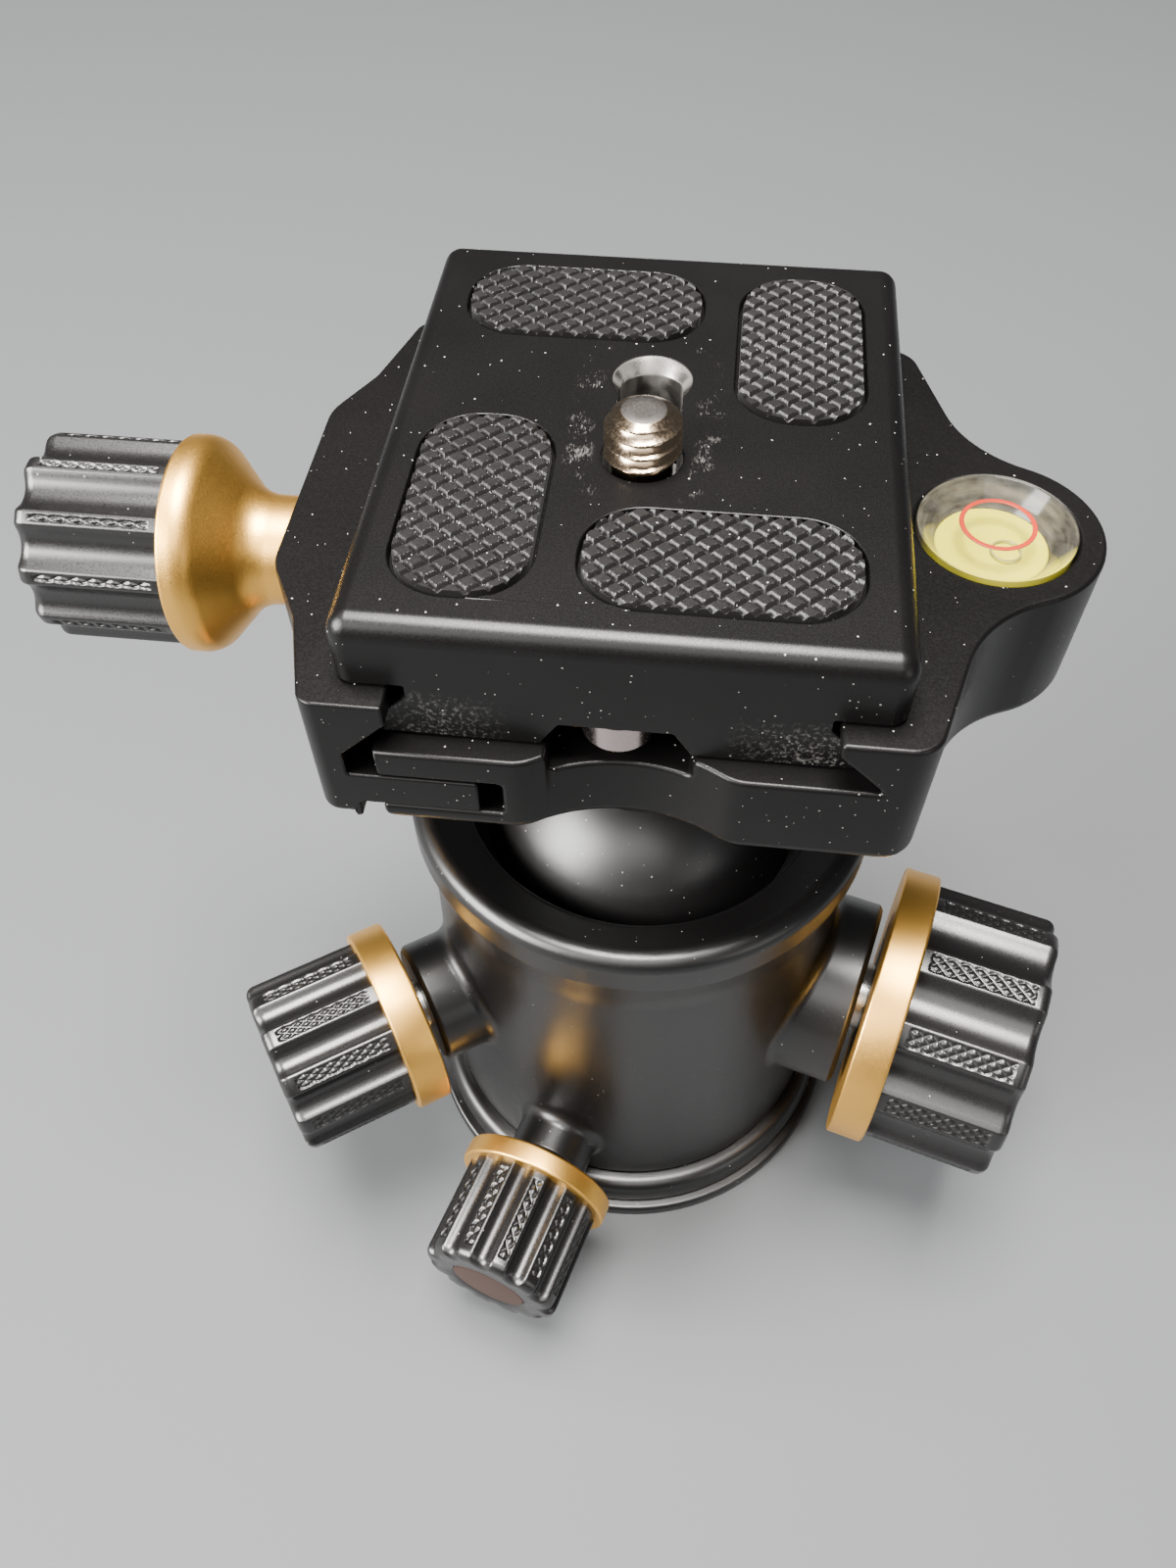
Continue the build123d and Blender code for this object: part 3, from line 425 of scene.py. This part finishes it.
def fluted_grip(name, place, r, start, length, flutes, depth, land, turn, hub_h, bore_r):
    """Grip about its own axis, from the hub below it to the recess in its end. In a flute the radius is
    c cos a - sqrt(q q - c c sin a sin a), a circle of radius q about a point at c. On a land it is r,
    less a sunk panel on which diamonds stand: min(1, 1.5 zigzag(u + v), 1.5 zigzag(u - v)), for u round
    the land and v along it in diamonds. The land's edges drop by a square, and its end rolls over. Of a
    pitch, a land takes the share land, and the first flute stands the share turn on from x."""
    panel_deep, diamond_high, diamond_l, diamond_blunt, diamond_margin = 0.22, 0.18, 1.55, 1.5, 0.4
    edge_drop, edge_w, end_r, chamfer_w, chamfer_h, start_inset = 0.12, 0.30, 1.1, 0.25, 0.2, 0.3
    side_margin, side_slope_w, low_margin, high_margin, slope_h = 0.38, 0.16, 0.8, 0.5, 0.25
    two_abreast_from = 1.1
    end, hub_r, disc_r = start + length, r * hub_share, r * disc_share
    pitch = 2 * np.pi / flutes
    half = pitch / 2 * (1 - land)
    q = ((r * np.sin(half)) ** 2 + depth ** 2) / (2 * depth)
    c = r * np.cos(half) + q - depth
    one = np.concatenate([np.linspace(-half, half, 15)[:-1], np.linspace(half, pitch - half, 33)[:-1]])
    angle = (one[None] + (np.arange(flutes)[:, None] + turn) * pitch).reshape(-1, 1)
    local = np.tile(one, flutes)[:, None]
    flute_r = c * np.cos(local) - np.sqrt(np.maximum(q ** 2 - (c * np.sin(local)) ** 2, 0))
    from_middle = np.abs(local - pitch / 2) * r
    land_half = r * (pitch / 2 - half)
    land_r = r - edge_drop * (1 - np.clip((land_half - from_middle) / edge_w, 0, 1)) ** 2
    smooth_r = np.where(from_middle < land_half, land_r, np.minimum(flute_r, r - edge_drop))
    rows = np.linspace(start, end - end_r, 110)
    diamonds, shift = (2, 0.5) if land_half > two_abreast_from else (1, 0.0)
    u = (local - pitch / 2) * r * diamonds / (2 * land_half - 2 * diamond_margin)
    v = (rows - start - length / 2) / diamond_l
    diamond = np.minimum(1, diamond_blunt * np.minimum(zigzag(u + v + shift), zigzag(u - v + shift)))
    panel = np.clip((land_half - side_margin - from_middle) / side_slope_w, 0, 1)
    low_end = np.clip((rows - start - low_margin) / slope_h, 0, 1)
    high_end = np.clip((end - end_r - high_margin - rows) / slope_h, 0, 1)
    side = smooth_r - panel * (low_end * high_end) * (panel_deep - diamond_high * diamond)
    roll = np.linspace(0, np.pi / 2, 6)[1:]
    hub = np.tile([bore_r, hub_r, hub_r], (len(angle), 1))
    recess = np.tile([disc_r + chamfer_w, disc_r, disc_r, bore_r], (len(angle), 1))
    rolled_r = smooth_r - end_r * (1 - np.cos(roll))
    radii = np.hstack([hub, smooth_r - start_inset, side, rolled_r, recess])
    heights = np.concatenate([
        [start - hub_h, start - hub_h, start, start], rows, end - end_r + end_r * np.sin(roll),
        [end, end - chamfer_h, end - recess_h, end - recess_h],
    ])
    return skin(name, placed(polar(radii, angle, heights), *place), crease=42)


def end_disc(name, r, end, place):
    """Disc pressed in the recess of a grip that ends at a height, with a rolled rim."""
    low, high = end - recess_h, end - disc_inset
    return lathe(name, rounded([(0, low, 0), (r, low, 0), (r, high, 0.2), (0, high, 0)]), place)


grip_black = black_finish(
    "grip_black", 0.003, rough=0.31, grain_mm=0.14, relief_mm=0.002, dusty=0.6, specular=0.7,
)
ring_gold = plain_finish(
    "ring_gold", (0.92, 0.51, 0.11), 1.0, 0.36, grain_mm=0.13, relief_mm=0.020, cloudiness=0.06,
)
disc_copper = plain_finish(
    "disc_copper", (0.11, 0.045, 0.026), 1.0, 0.42, grain_mm=0.09, relief_mm=0.008, cloudiness=0.08,
)

knob_start, screw_fit, ring_round, ring_steps = 29.9, 0.05, 0.35, 144
side_knobs = {
    "main": dict(
        azimuth=-15.3, height=29.5, screw_r=4.0, ring_r=16.5, ring_h=4.2,
        grip=dict(r=15.5, length=14.0, flutes=11, depth=1.15, land=0.36, turn=0.468),
    ),
    "friction": dict(
        azimuth=213.9, height=32.5, screw_r=3.0, ring_r=10.9, ring_h=4.0,
        grip=dict(r=9.9, length=13.0, flutes=11, depth=0.9, land=0.42, turn=0.988),
    ),
    "pan": dict(
        azimuth=-107.1, height=15.0, screw_r=2.5, ring_r=9.3, ring_h=2.5,
        grip=dict(r=8.3, length=12.1, flutes=12, depth=0.8, land=0.46, turn=0.117),
    ),
}
for knob, k in side_knobs.items():
    azimuth = math.radians(k["azimuth"])
    outward = (math.cos(azimuth), math.sin(azimuth), 0)
    place = ((0, 0, k["height"]), (-outward[1], outward[0], 0), (0, 0, 1), outward)
    grip_r, ring_r, ring_end = k["grip"]["r"], k["ring_r"], knob_start + k["ring_h"]
    hub_r = grip_r * hub_share
    grip = fluted_grip(
        knob + "_fluted_grip", place, start=ring_end, hub_h=k["ring_h"], bore_r=k["screw_r"] - screw_fit,
        **k["grip"],
    )
    seat(grip, knob + "_knob", "black_anodised", grip_black, knob + "_grip")
    ring_side = rounded([
        (hub_r, knob_start, 0), (ring_r, knob_start, ring_round), (ring_r, ring_end, ring_round),
        (hub_r, ring_end, 0),
    ])
    ring = lathe(knob + "_ring_turned", ring_side, place, segments=ring_steps)
    seat(ring, knob + "_knob", "gold_anodised", ring_gold, knob + "_gold_ring")
    disc = end_disc(knob + "_disc_turned", grip_r * disc_share, ring_end + k["grip"]["length"], place)
    seat(disc, knob + "_knob", "copper_disc", disc_copper, knob + "_end_disc")
dress(turned_steel, "main_screw", "friction_screw", "pan_screw", "draw_screw")


# Clamp base and sliding jaw. Milled from black anodised aluminium bar, with broken edges: the base
# carries the fixed jaw and the level's boss, and the other jaw slides out on two tongues.
clamp_black = black_finish(
    "clamp_black", 0.0022, rough=0.33, grain_mm=0.16, relief_mm=0.003, dusty=1.8, specular=0.22,
)
clamp_base = softened("clamp_base", "clamp_base_milled", width_mm=0.40)
seat(clamp_base, "clamp", "black_anodised", clamp_black, "clamp_base")
jaw = softened("movable_jaw", "movable_jaw_milled", width_mm=0.25)
seat(jaw, "jaw", "black_anodised", clamp_black, "movable_jaw")


# Jaw springs. Two steel compression springs beside the draw screw push the jaw open; each is one wire
# wound round its own axis, its ends lying in blind holes of the base and the jaw.
def coil(wire_r, coil_r, turns, length, steps_per_turn=26, sides=8):
    """Tube round a helix about Z from 0 to length: centre (R cos a, R sin a, length t), and round it a
    circle of the wire's radius, spanned by the outward direction and Z. Each end closes on the wire's
    middle."""
    t = np.linspace(0, 1, int(turns * steps_per_turn))[None]
    b = around(sides)
    height = wire_r + (length - 2 * wire_r) * t + wire_r * np.sin(b)
    tube = polar(coil_r + wire_r * np.cos(b), 2 * np.pi * turns * t, height)
    first = np.broadcast_to(tube[:, :1].mean(0), (sides, 1, 3))
    last = np.broadcast_to(tube[:, -1:].mean(0), (sides, 1, 3))
    return np.concatenate([first, tube, last], 1)


spring_x, spring_y, spring_z, spring_apart = -13.5, 1.25, 85.1, 6.6
spring_grid = coil(wire_r=0.25, coil_r=1.15, turns=11, length=12.5)
for n, side in enumerate((-1, 1)):
    spring_at = ((spring_x, spring_y + side * spring_apart, spring_z), (0, 1, 0), (0, 0, -1), (-1, 0, 0))
    spring = skin(f"jaw_spring_{n}", placed(spring_grid, *spring_at), ring_v=False)
    spring.data.materials.append(turned_steel)
    if n == 0:
        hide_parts("jaw_springs")
    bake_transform(spring)


# Clamp knob. A steel draw screw in a grip like the others, behind a gold cone that swells from a slim
# neck at the jaw to a broad rim, turned and blasted in one piece.
knob_place = ((0, 1.25, 87.2), (0, 1, 0), (0, 0, -1), (-1, 0, 0))
draw_r, cone_start, cone_l, cone_neck_l, cone_swell_l, cone_hub_l = 2.5, 30.65, 11.5, 5.1, 9.2, 3.8
cone_neck_r, cone_rim_r, clamp_grip_r, clamp_grip_h = 5.0, 9.9, 9.3, 13.1
cone_end, clamp_hub_r = cone_start + cone_l, clamp_grip_r * hub_share
clamp_grip = fluted_grip(
    "clamp_fluted_grip", knob_place, r=clamp_grip_r, start=cone_end, length=clamp_grip_h, flutes=11,
    depth=0.9, land=0.29, turn=0.55, hub_h=cone_hub_l, bore_r=draw_r,
)
seat(clamp_grip, "clamp_knob", "black_anodised", grip_black, "clamp_knob_grip")
cone_side = rounded([
    (draw_r, cone_start, 0), (cone_neck_r, cone_start, 0.2), (cone_neck_r, cone_start + cone_neck_l, 3.5),
    (cone_rim_r, cone_start + cone_swell_l, 2.5), (cone_rim_r, cone_end, 0.35), (clamp_hub_r, cone_end, 0),
    (clamp_hub_r, cone_end - cone_hub_l, 0), (draw_r, cone_end - cone_hub_l, 0),
], step=0.08)
cone = lathe("clamp_cone_turned", cone_side, knob_place, segments=ring_steps)
seat(cone, "clamp_knob", "gold_anodised", ring_gold, "clamp_knob_cone")
disc = end_disc("clamp_disc_turned", clamp_grip_r * disc_share, cone_end + clamp_grip_h, knob_place)
seat(disc, "clamp_knob", "copper_disc", disc_copper, "clamp_knob_end_disc")


# Round level. A clear acrylic vial, flat above with a rounded rim, is pressed into the boss; it is
# filled with yellow-green fluid and one bubble, and a red ring is printed on its top. The fluid's
# glow, the yellow on the wall's front and the bubble's dark edge are painted light and shade.
def upright(x, y):
    """Place of a piece whose axis stands upright at (x, y)."""
    return (x, y, 0), (1, 0, 0), (0, 1, 0), (0, 0, 1)


level_x, level_y, level_r = 28.6, 1.25, 6.75
level_low, level_high, fluid_r, fluid_top = 89.45, 95.95, 4.8, 93.9
level_at = upright(level_x, level_y)


def acrylic_finish():
    """Clear acrylic as a thin glossy skin that lets nearly all light through."""
    haze_per_m, clearest, haziest = 900.0, 0.02, 0.05
    finish, tree, shader, where = blank_finish("clear_acrylic")
    haze = ramp(tree, noise(tree, where["Object"], haze_per_m, 3.0), 0.35, 0.75, clearest, haziest)
    tree.links.new(haze, shader.inputs["Alpha"])
    shader.inputs["Base Color"].default_value = (0.75, 0.72, 0.60, 1)
    shader.inputs["Roughness"].default_value = 0.03
    shader.inputs["Specular IOR Level"].default_value = 0.3
    return finish


def away_from(tree, where, point_mm):
    """Vector from a point to the place on the surface."""
    point = tuple(c / 1000 for c in point_mm)
    return add(tree, "ShaderNodeVectorMath", {"operation": "SUBTRACT"}, i0=where, i1=point)[0]


def vial_wall_finish():
    """The thick wall seen through the top: grey-brown glassy streaks that run round it, turning on the
    front side to a painted glow of the fluid's yellow, the fluid's light that the wall bends up; smooth and
    glossy."""
    streak_dark, streak_light = (0.006, 0.005, 0.0035, 1), (0.065, 0.056, 0.036, 1)
    fluid_light_painted = (0.42, 0.37, 0.008, 1)
    finish, tree, shader, where = blank_finish("vial_wall")
    from_axis = away_from(tree, where["Object"], (level_x, level_y, 0))
    stretched = add(tree, "ShaderNodeMapping", Vector=from_axis, Scale=(260, 260, 1500))[0]
    streaks = ramp(tree, noise(tree, stretched, 1.0, 4.0), 0.36, 0.64)
    # Painted light: the wall's front side takes the fluid's yellow.
    front = ramp(tree, add(tree, "ShaderNodeSeparateXYZ", Vector=from_axis)["Y"], -0.0018, -0.0042)
    glass = blended(tree, streaks, streak_dark, streak_light)
    tree.links.new(blended(tree, front, glass, fluid_light_painted), shader.inputs["Base Color"])
    shader.inputs["Roughness"].default_value = 0.12
    shader.inputs["Specular IOR Level"].default_value = 0.3
    return finish


vial_r = level_r - 0.05
vial_side = rounded([
    (0, level_high, 0), (vial_r, level_high, 0.4), (vial_r, level_low, 0.2), (0, level_low, 0),
])
vial = lathe("level_vial_turned", vial_side, level_at, segments=128)
seat(vial, "clamp", "clear_acrylic", acrylic_finish(), "level_vial")
wall_r, wall_rim_r, wall_inner_z = level_r - 0.15, level_r - 0.3, fluid_top - 0.3
wall_low, wall_high = level_low + 0.2, level_high - 0.25
cup_side = rounded([
    (fluid_r, wall_inner_z, 0), (wall_rim_r, wall_high, 0.1), (wall_r, wall_high, 0.05),
    (wall_r, wall_low, 0), (fluid_r, wall_low, 0),
])
cup_wall = lathe("level_vial_wall", cup_side, level_at, segments=128)
seat(cup_wall, "clamp", "clear_acrylic", vial_wall_finish())
pool_r, pool_low, pool_rim_z = fluid_r - 0.02, level_low + 1.0, fluid_top - 0.2
fluid_side = rounded([
    (0, pool_low, 0), (pool_r, pool_low, 0.3), (pool_r, pool_rim_z, 0.3), (0, fluid_top, 0),
])
fluid = lathe("level_fluid_turned", fluid_side, level_at, segments=128)
fluid_yellow = plain_finish(
    "level_fluid", (0.42, 0.37, 0.006), 0.0, 0.35, grain_mm=0.5, relief_mm=0.0, cloudiness=0.05,
)
# Painted light: the fluid glows a faint yellow of its own, standing in for light that comes in through the
# clear vial.
fluid_painted_glow = fluid_yellow.node_tree.nodes["Principled BSDF"].inputs
fluid_painted_glow["Emission Color"].default_value = (0.85, 0.78, 0.03, 1)
fluid_painted_glow["Emission Strength"].default_value = 0.30
fluid_painted_glow["Specular IOR Level"].default_value = 0.0
seat(fluid, "clamp", "level_fluid", fluid_yellow, "level_liquid")


def thin_ring(name, middle_r, half_width, top, place):
    """Ring 0.1 mm thick below its top, from middle_r - half_width to middle_r + half_width."""
    low_r, high_r, low = middle_r - half_width, middle_r + half_width, top - 0.1
    side = rounded([(low_r, low, 0), (high_r, low, 0), (high_r, top, 0.04), (low_r, top, 0.04)])
    return lathe(name, side, place)


# Painted shade: the bubble is only a thin dark olive ring just above the fluid, standing in for the shade
# at a real bubble's curved edge.
bubble_right, bubble_front, bubble_over, print_over = 1.0, 1.1, 0.25, 0.02
bubble_at = upright(level_x + bubble_right, level_y - bubble_front)
bubble = thin_ring("level_bubble_edge_shade", 1.25, 0.09, fluid_top + bubble_over, bubble_at)
bubble_edge_painted_shade = plain_finish(
    "bubble_edge_painted_shade", (0.22, 0.20, 0.04), 0.0, 0.2, grain_mm=0.5, relief_mm=0.0, cloudiness=0.4,
)
seat(bubble, "clamp", "level_fluid", bubble_edge_painted_shade)
red_ring = thin_ring("level_ring_printed", 3.0, 0.2, level_high + print_over, level_at)
ring_red = plain_finish("ring_red", (0.30, 0.016, 0.003), 0.0, 0.4, grain_mm=0.3, relief_mm=0.0)
seat(red_ring, "clamp", "red_print", ring_red, "level_ring")


# Quick-release plate. Milled black anodised aluminium with a dovetail below and rounded edges above;
# cameras have rubbed it grey beside the slot, and its front was left rough at the lower corners.
plate_x, plate_y, plate_top = -1.1, 4.3, 101.8
slot_front, slot_back = -0.4, 9.44


def plate_finish():
    """Black like the clamp's, and over it three kinds of wear. Scuffs lie beside the slot, 3.8 to 6.8 mm
    from its middle line, broken into strokes by a stretched noise. The front's lower corners are
    speckled. The slot's back bevel is rubbed to bare metal, near the slot's end and under the top."""
    worn_grey, bare_metal = (0.070, 0.067, 0.064, 1), (0.34, 0.32, 0.30, 1)
    finish = black_finish(
        "plate_black", 0.0020, rough=0.33, grain_mm=0.14, relief_mm=0.004, dusty=1.5, specular=0.28,
    )
    tree = finish.node_tree
    shader = tree.nodes["Principled BSDF"]
    where = add(tree, "ShaderNodeTexCoord")
    patches = noise(tree, where["Object"], 330.0, 2.0)

    # Scuffs: how far from the slot's middle line, which strokes, and only to the left and right.
    scuff_from, scuff_full, scuff_fades, scuff_to = 0.0038, 0.0048, 0.0054, 0.0068
    stroke_turn, stroke_scale, side_from, side_full = (0, 0, 0.25), (7600, 2000, 2000), 0.0028, 0.0042
    middle = (plate_x, (slot_front + slot_back) / 2, plate_top)
    at = add(tree, "ShaderNodeSeparateXYZ", Vector=away_from(tree, where["Object"], middle))
    far_x, far_y = calc(tree, "ABSOLUTE", at["X"]), calc(tree, "ABSOLUTE", at["Y"])
    past_end = calc(tree, "MAXIMUM", calc(tree, "SUBTRACT", far_y, (slot_back - slot_front) / 2000), 0.0)
    from_line = add(tree, "ShaderNodeCombineXYZ", X=at["X"], Y=past_end, Z=0.0)[0]
    away = add(tree, "ShaderNodeVectorMath", {"operation": "LENGTH"}, i0=from_line)["Value"]
    inner = ramp(tree, away, scuff_from, scuff_full, smooth=True)
    outer = ramp(tree, away, scuff_to, scuff_fades, smooth=True)
    stretched = add(
        tree, "ShaderNodeMapping", Vector=where["Object"], Rotation=stroke_turn, Scale=stroke_scale,
    )[0]
    strokes = product(tree, noise(tree, stretched, 1.0, 4.0, rough=0.6), patches)
    picked = ramp(tree, strokes, 0.31, 0.40, smooth=True)
    beside = ramp(tree, far_x, side_from, side_full, smooth=True)
    scuff = product(tree, picked, product(tree, inner, outer), beside)

    # Speckle: on the face to the front, low down, towards its corners, in coarse grit.
    low_from, low_full, corner_from, corner_full, grit_per_m = -0.0062, -0.0085, 0.008, 0.014, 2600.0
    looks = add(tree, "ShaderNodeSeparateXYZ", Vector=where["Normal"])
    front, low = ramp(tree, looks["Y"], -0.6, -0.9), ramp(tree, at["Z"], low_from, low_full)
    corner = ramp(tree, far_x, corner_from, corner_full)
    grit = noise(tree, where["Object"], grit_per_m, 4.0, rough=0.7)
    speckle = product(tree, front, low, corner, ramp(tree, grit, 0.50, 0.66, smooth=True))

    # Bare metal: near the slot's end, under the top, on its back half, thinner in patches.
    bevel_mid, bare_full, bare_to, top_from, top_full = plate_top - 0.5, 0.0044, 0.0049, -0.00002, -0.00012
    back_from, back_full, thinnest = -0.0005, 0.0012, 0.25
    from_end = away_from(tree, where["Object"], (plate_x, slot_back, bevel_mid))
    reach = add(tree, "ShaderNodeVectorMath", {"operation": "LENGTH"}, i0=from_end)["Value"]
    near = ramp(tree, reach, bare_to, bare_full, smooth=True)
    under_top = ramp(tree, at["Z"], top_from, top_full, smooth=True)
    back_y = add(tree, "ShaderNodeSeparateXYZ", Vector=from_end)["Y"]
    behind = ramp(tree, back_y, back_from, back_full, smooth=True)
    rubbed = ramp(tree, patches, 0.34, 0.62, thinnest, 1.0, smooth=True)
    bare = product(tree, near, under_top, behind, rubbed)

    black = shader.inputs["Base Color"].links[0].from_socket
    worn = blended(tree, calc(tree, "MAXIMUM", scuff, speckle), black, worn_grey)
    tree.links.new(blended(tree, bare, worn, bare_metal), shader.inputs["Base Color"])
    tree.links.new(bare, shader.inputs["Metallic"])
    return finish


plate = softened("camera_plate", "camera_plate_milled", width_mm=0.14)
seat(plate, "plate", "black_blasted", plate_finish(), "camera_plate")

stop_r, stem_r, stop_low, stop_high, stem_high = 3.0, 1.5, 89.8, 92.7, 96.2
front_stop_y, back_stop_y = -18.6, 27.2
stop_side = rounded([
    (0, stop_low, 0), (stop_r, stop_low, 0.45), (stop_r, stop_high, 0), (stem_r, stop_high, 0),
    (stem_r, stem_high, 0.2), (0, stem_high, 0),
])
bright_chrome = plain_finish(
    "bright_chrome", (0.50, 0.42, 0.41), 1.0, 0.24, grain_mm=0.3, relief_mm=0.001, cloudiness=0.04,
)
for n, stop_y in enumerate((front_stop_y, back_stop_y)):
    pin = lathe(f"stop_pin_{n}", stop_side, upright(plate_x, stop_y), segments=72)
    seat(pin, "plate", "chrome", bright_chrome, *(("stop_pins",) if n == 0 else ()))


# Pads. Four black rubber ovals glued in pockets of the plate, moulded with rows of blunt diamonds that
# grip the camera; they stand a little proud, and their sides show.
pad_l, pad_w, pad_corner, pad_low, pad_high = 20.9, 10.5, 4.7, 100.9, 102.1
diamond_deep, diamond_blunt, pad_steps, pad_rows = 0.45, 3.0, 420, 60


def moulded_pad(name, place, cells):
    """Pad about its own middle. The outline is an oval of corner arcs; a point is a share of the way from
    the middle line to the outline. Height = high less depth (1 - min(1, 3 zigzag a, 3 zigzag b)), for
    a, b = x / p +- y / q, a blunt diamond in every cell p by q."""
    outline = rounded([
        (-pad_l / 2, -pad_w / 2, pad_corner), (pad_l / 2, -pad_w / 2, pad_corner),
        (pad_l / 2, pad_w / 2, pad_corner), (-pad_l / 2, pad_w / 2, pad_corner),
    ], step=0.03)
    lengths = np.linalg.norm(np.roll(outline, -1, 0) - outline, axis=1)
    walk = np.concatenate([[0], np.cumsum(lengths)])
    loop = np.vstack([outline, outline[:1]])
    ticks = np.linspace(0, walk[-1], pad_steps, endpoint=False)
    rim = np.stack([np.interp(ticks, walk, loop[:, 0]), np.interp(ticks, walk, loop[:, 1])], 1)
    spine_half = (pad_l - pad_w) / 2
    spine = np.stack([np.clip(rim[:, 0], -spine_half, spine_half), np.zeros(pad_steps)], 1)
    flat = spine[:, None] + (rim - spine)[:, None] * np.linspace(0, 1, pad_rows)[None, :, None]
    x, y = flat[..., 0], flat[..., 1]
    a, b = x / cells[0] + y / cells[1], x / cells[0] - y / cells[1]
    blunt = np.minimum(1, diamond_blunt * np.minimum(zigzag(a), zigzag(b)))
    top = np.stack([x, y, pad_high - diamond_deep * (1 - blunt)], 2)
    wall, middle = (np.insert(edge, 2, pad_low, axis=1)[:, None] for edge in (rim, spine))
    return skin(name, placed(np.concatenate([top, wall, middle], 1), *place), ring_v=False, crease=28)


pad_rubber = black_finish(
    "pad_rubber", 0.0045, rough=0.34, grain_mm=0.20, relief_mm=0.006, dusty=2.2, specular=0.32,
)
pad_rubber.node_tree.nodes["Principled BSDF"].inputs["Sheen Weight"].default_value = 0.05
cell_x, cell_y = 2.16, 1.88
pads = {
    "pad_front": (6.92, -16.58, False), "pad_back": (-6.92, 16.58, False),
    "pad_left": (-12.56, -11.38, True), "pad_right": (12.56, 11.38, True),
}
for node, (x, y, quarter) in pads.items():
    across, rise = ((0, 1, 0), (-1, 0, 0)) if quarter else ((1, 0, 0), (0, 1, 0))
    place = ((plate_x + x, plate_y + y, 0), across, rise, (0, 0, 1))
    pad = moulded_pad(node + "_moulded", place, (cell_y, cell_x) if quarter else (cell_x, cell_y))
    seat(pad, "plate", "pad_rubber", pad_rubber, node)


# Camera screw. Nickel-plated steel with a quarter-inch thread above the plate, a slim waist through the
# slot and a broad head below, faced flat on top.
screw_top, screw_r, screw_root, screw_pitch, tip_r, tip_h = 106.2, 3.175, 2.42, 1.27, 1.75, 0.9
head_low, head_high, head_r, waist_top, screw_waist_r, run_out = 93.75, 96.95, 5.4, 101.8, 2.5, 2.0
thread_low, screw_steps, flat_r = waist_top + 0.05, 128, 0.9


def threaded(low, high, steps, rows=150):
    """Points of a right-hand thread at angle a and height z. With p the distance from the nearest crest
    in half pitches, r = root + (crest - root) (1 - p) ^ 1.5, cut off by the point's cone above and by
    the run-out's below."""
    a, z = around(steps), np.linspace(low, high, rows)[None]
    r = screw_root + (screw_r - screw_root) * (1 - zigzag(z / screw_pitch - a / (2 * np.pi))) ** 1.5
    r = np.minimum(r, tip_r + (high - z) * (screw_r - tip_r) / tip_h)
    r = np.minimum(r, screw_root + (z - low) * run_out)
    return polar(r, a, z)


def nickel_finish():
    """Warm nickel plate, and on the flat top, past the screw's height less 0.04 mm, its bare dull grey."""
    top_m, dull_grey = screw_top / 1000, (0.09, 0.082, 0.078, 1)
    finish = plain_finish(
        "warm_nickel", (0.46, 0.35, 0.24), 1.0, 0.20, grain_mm=0.25, relief_mm=0.006, cloudiness=0.16,
    )
    tree = finish.node_tree
    shader = tree.nodes["Principled BSDF"]
    at = add(tree, "ShaderNodeSeparateXYZ", Vector=add(tree, "ShaderNodeTexCoord")["Object"])
    top = ramp(tree, at["Z"], top_m - 0.00006, top_m - 0.00002)
    plated = shader.inputs["Base Color"].links[0].from_socket
    sheen = shader.inputs["Roughness"].links[0].from_socket
    tree.links.new(blended(tree, top, plated, dull_grey), shader.inputs["Base Color"])
    tree.links.new(calc(tree, "MULTIPLY_ADD", top, 0.3, sheen), shader.inputs["Roughness"])
    return finish


head_side = rounded([
    (0.0, head_low, 0), (head_r, head_low, 0.4), (head_r, head_high, 0.4), (screw_waist_r, head_high, 0),
    (screw_waist_r, waist_top, 0),
])
top_side = np.array([(flat_r, screw_top), (0.0, screw_top)])
screw_grid = np.concatenate([
    turned(head_side, screw_steps), threaded(thread_low, screw_top, screw_steps),
    turned(top_side, screw_steps),
], 1)
screw = skin("camera_screw_threaded", placed(screw_grid, *upright(plate_x, slot_front)), ring_v=False)
seat(screw, "camera_screw", "steel", nickel_finish(), "camera_screw")
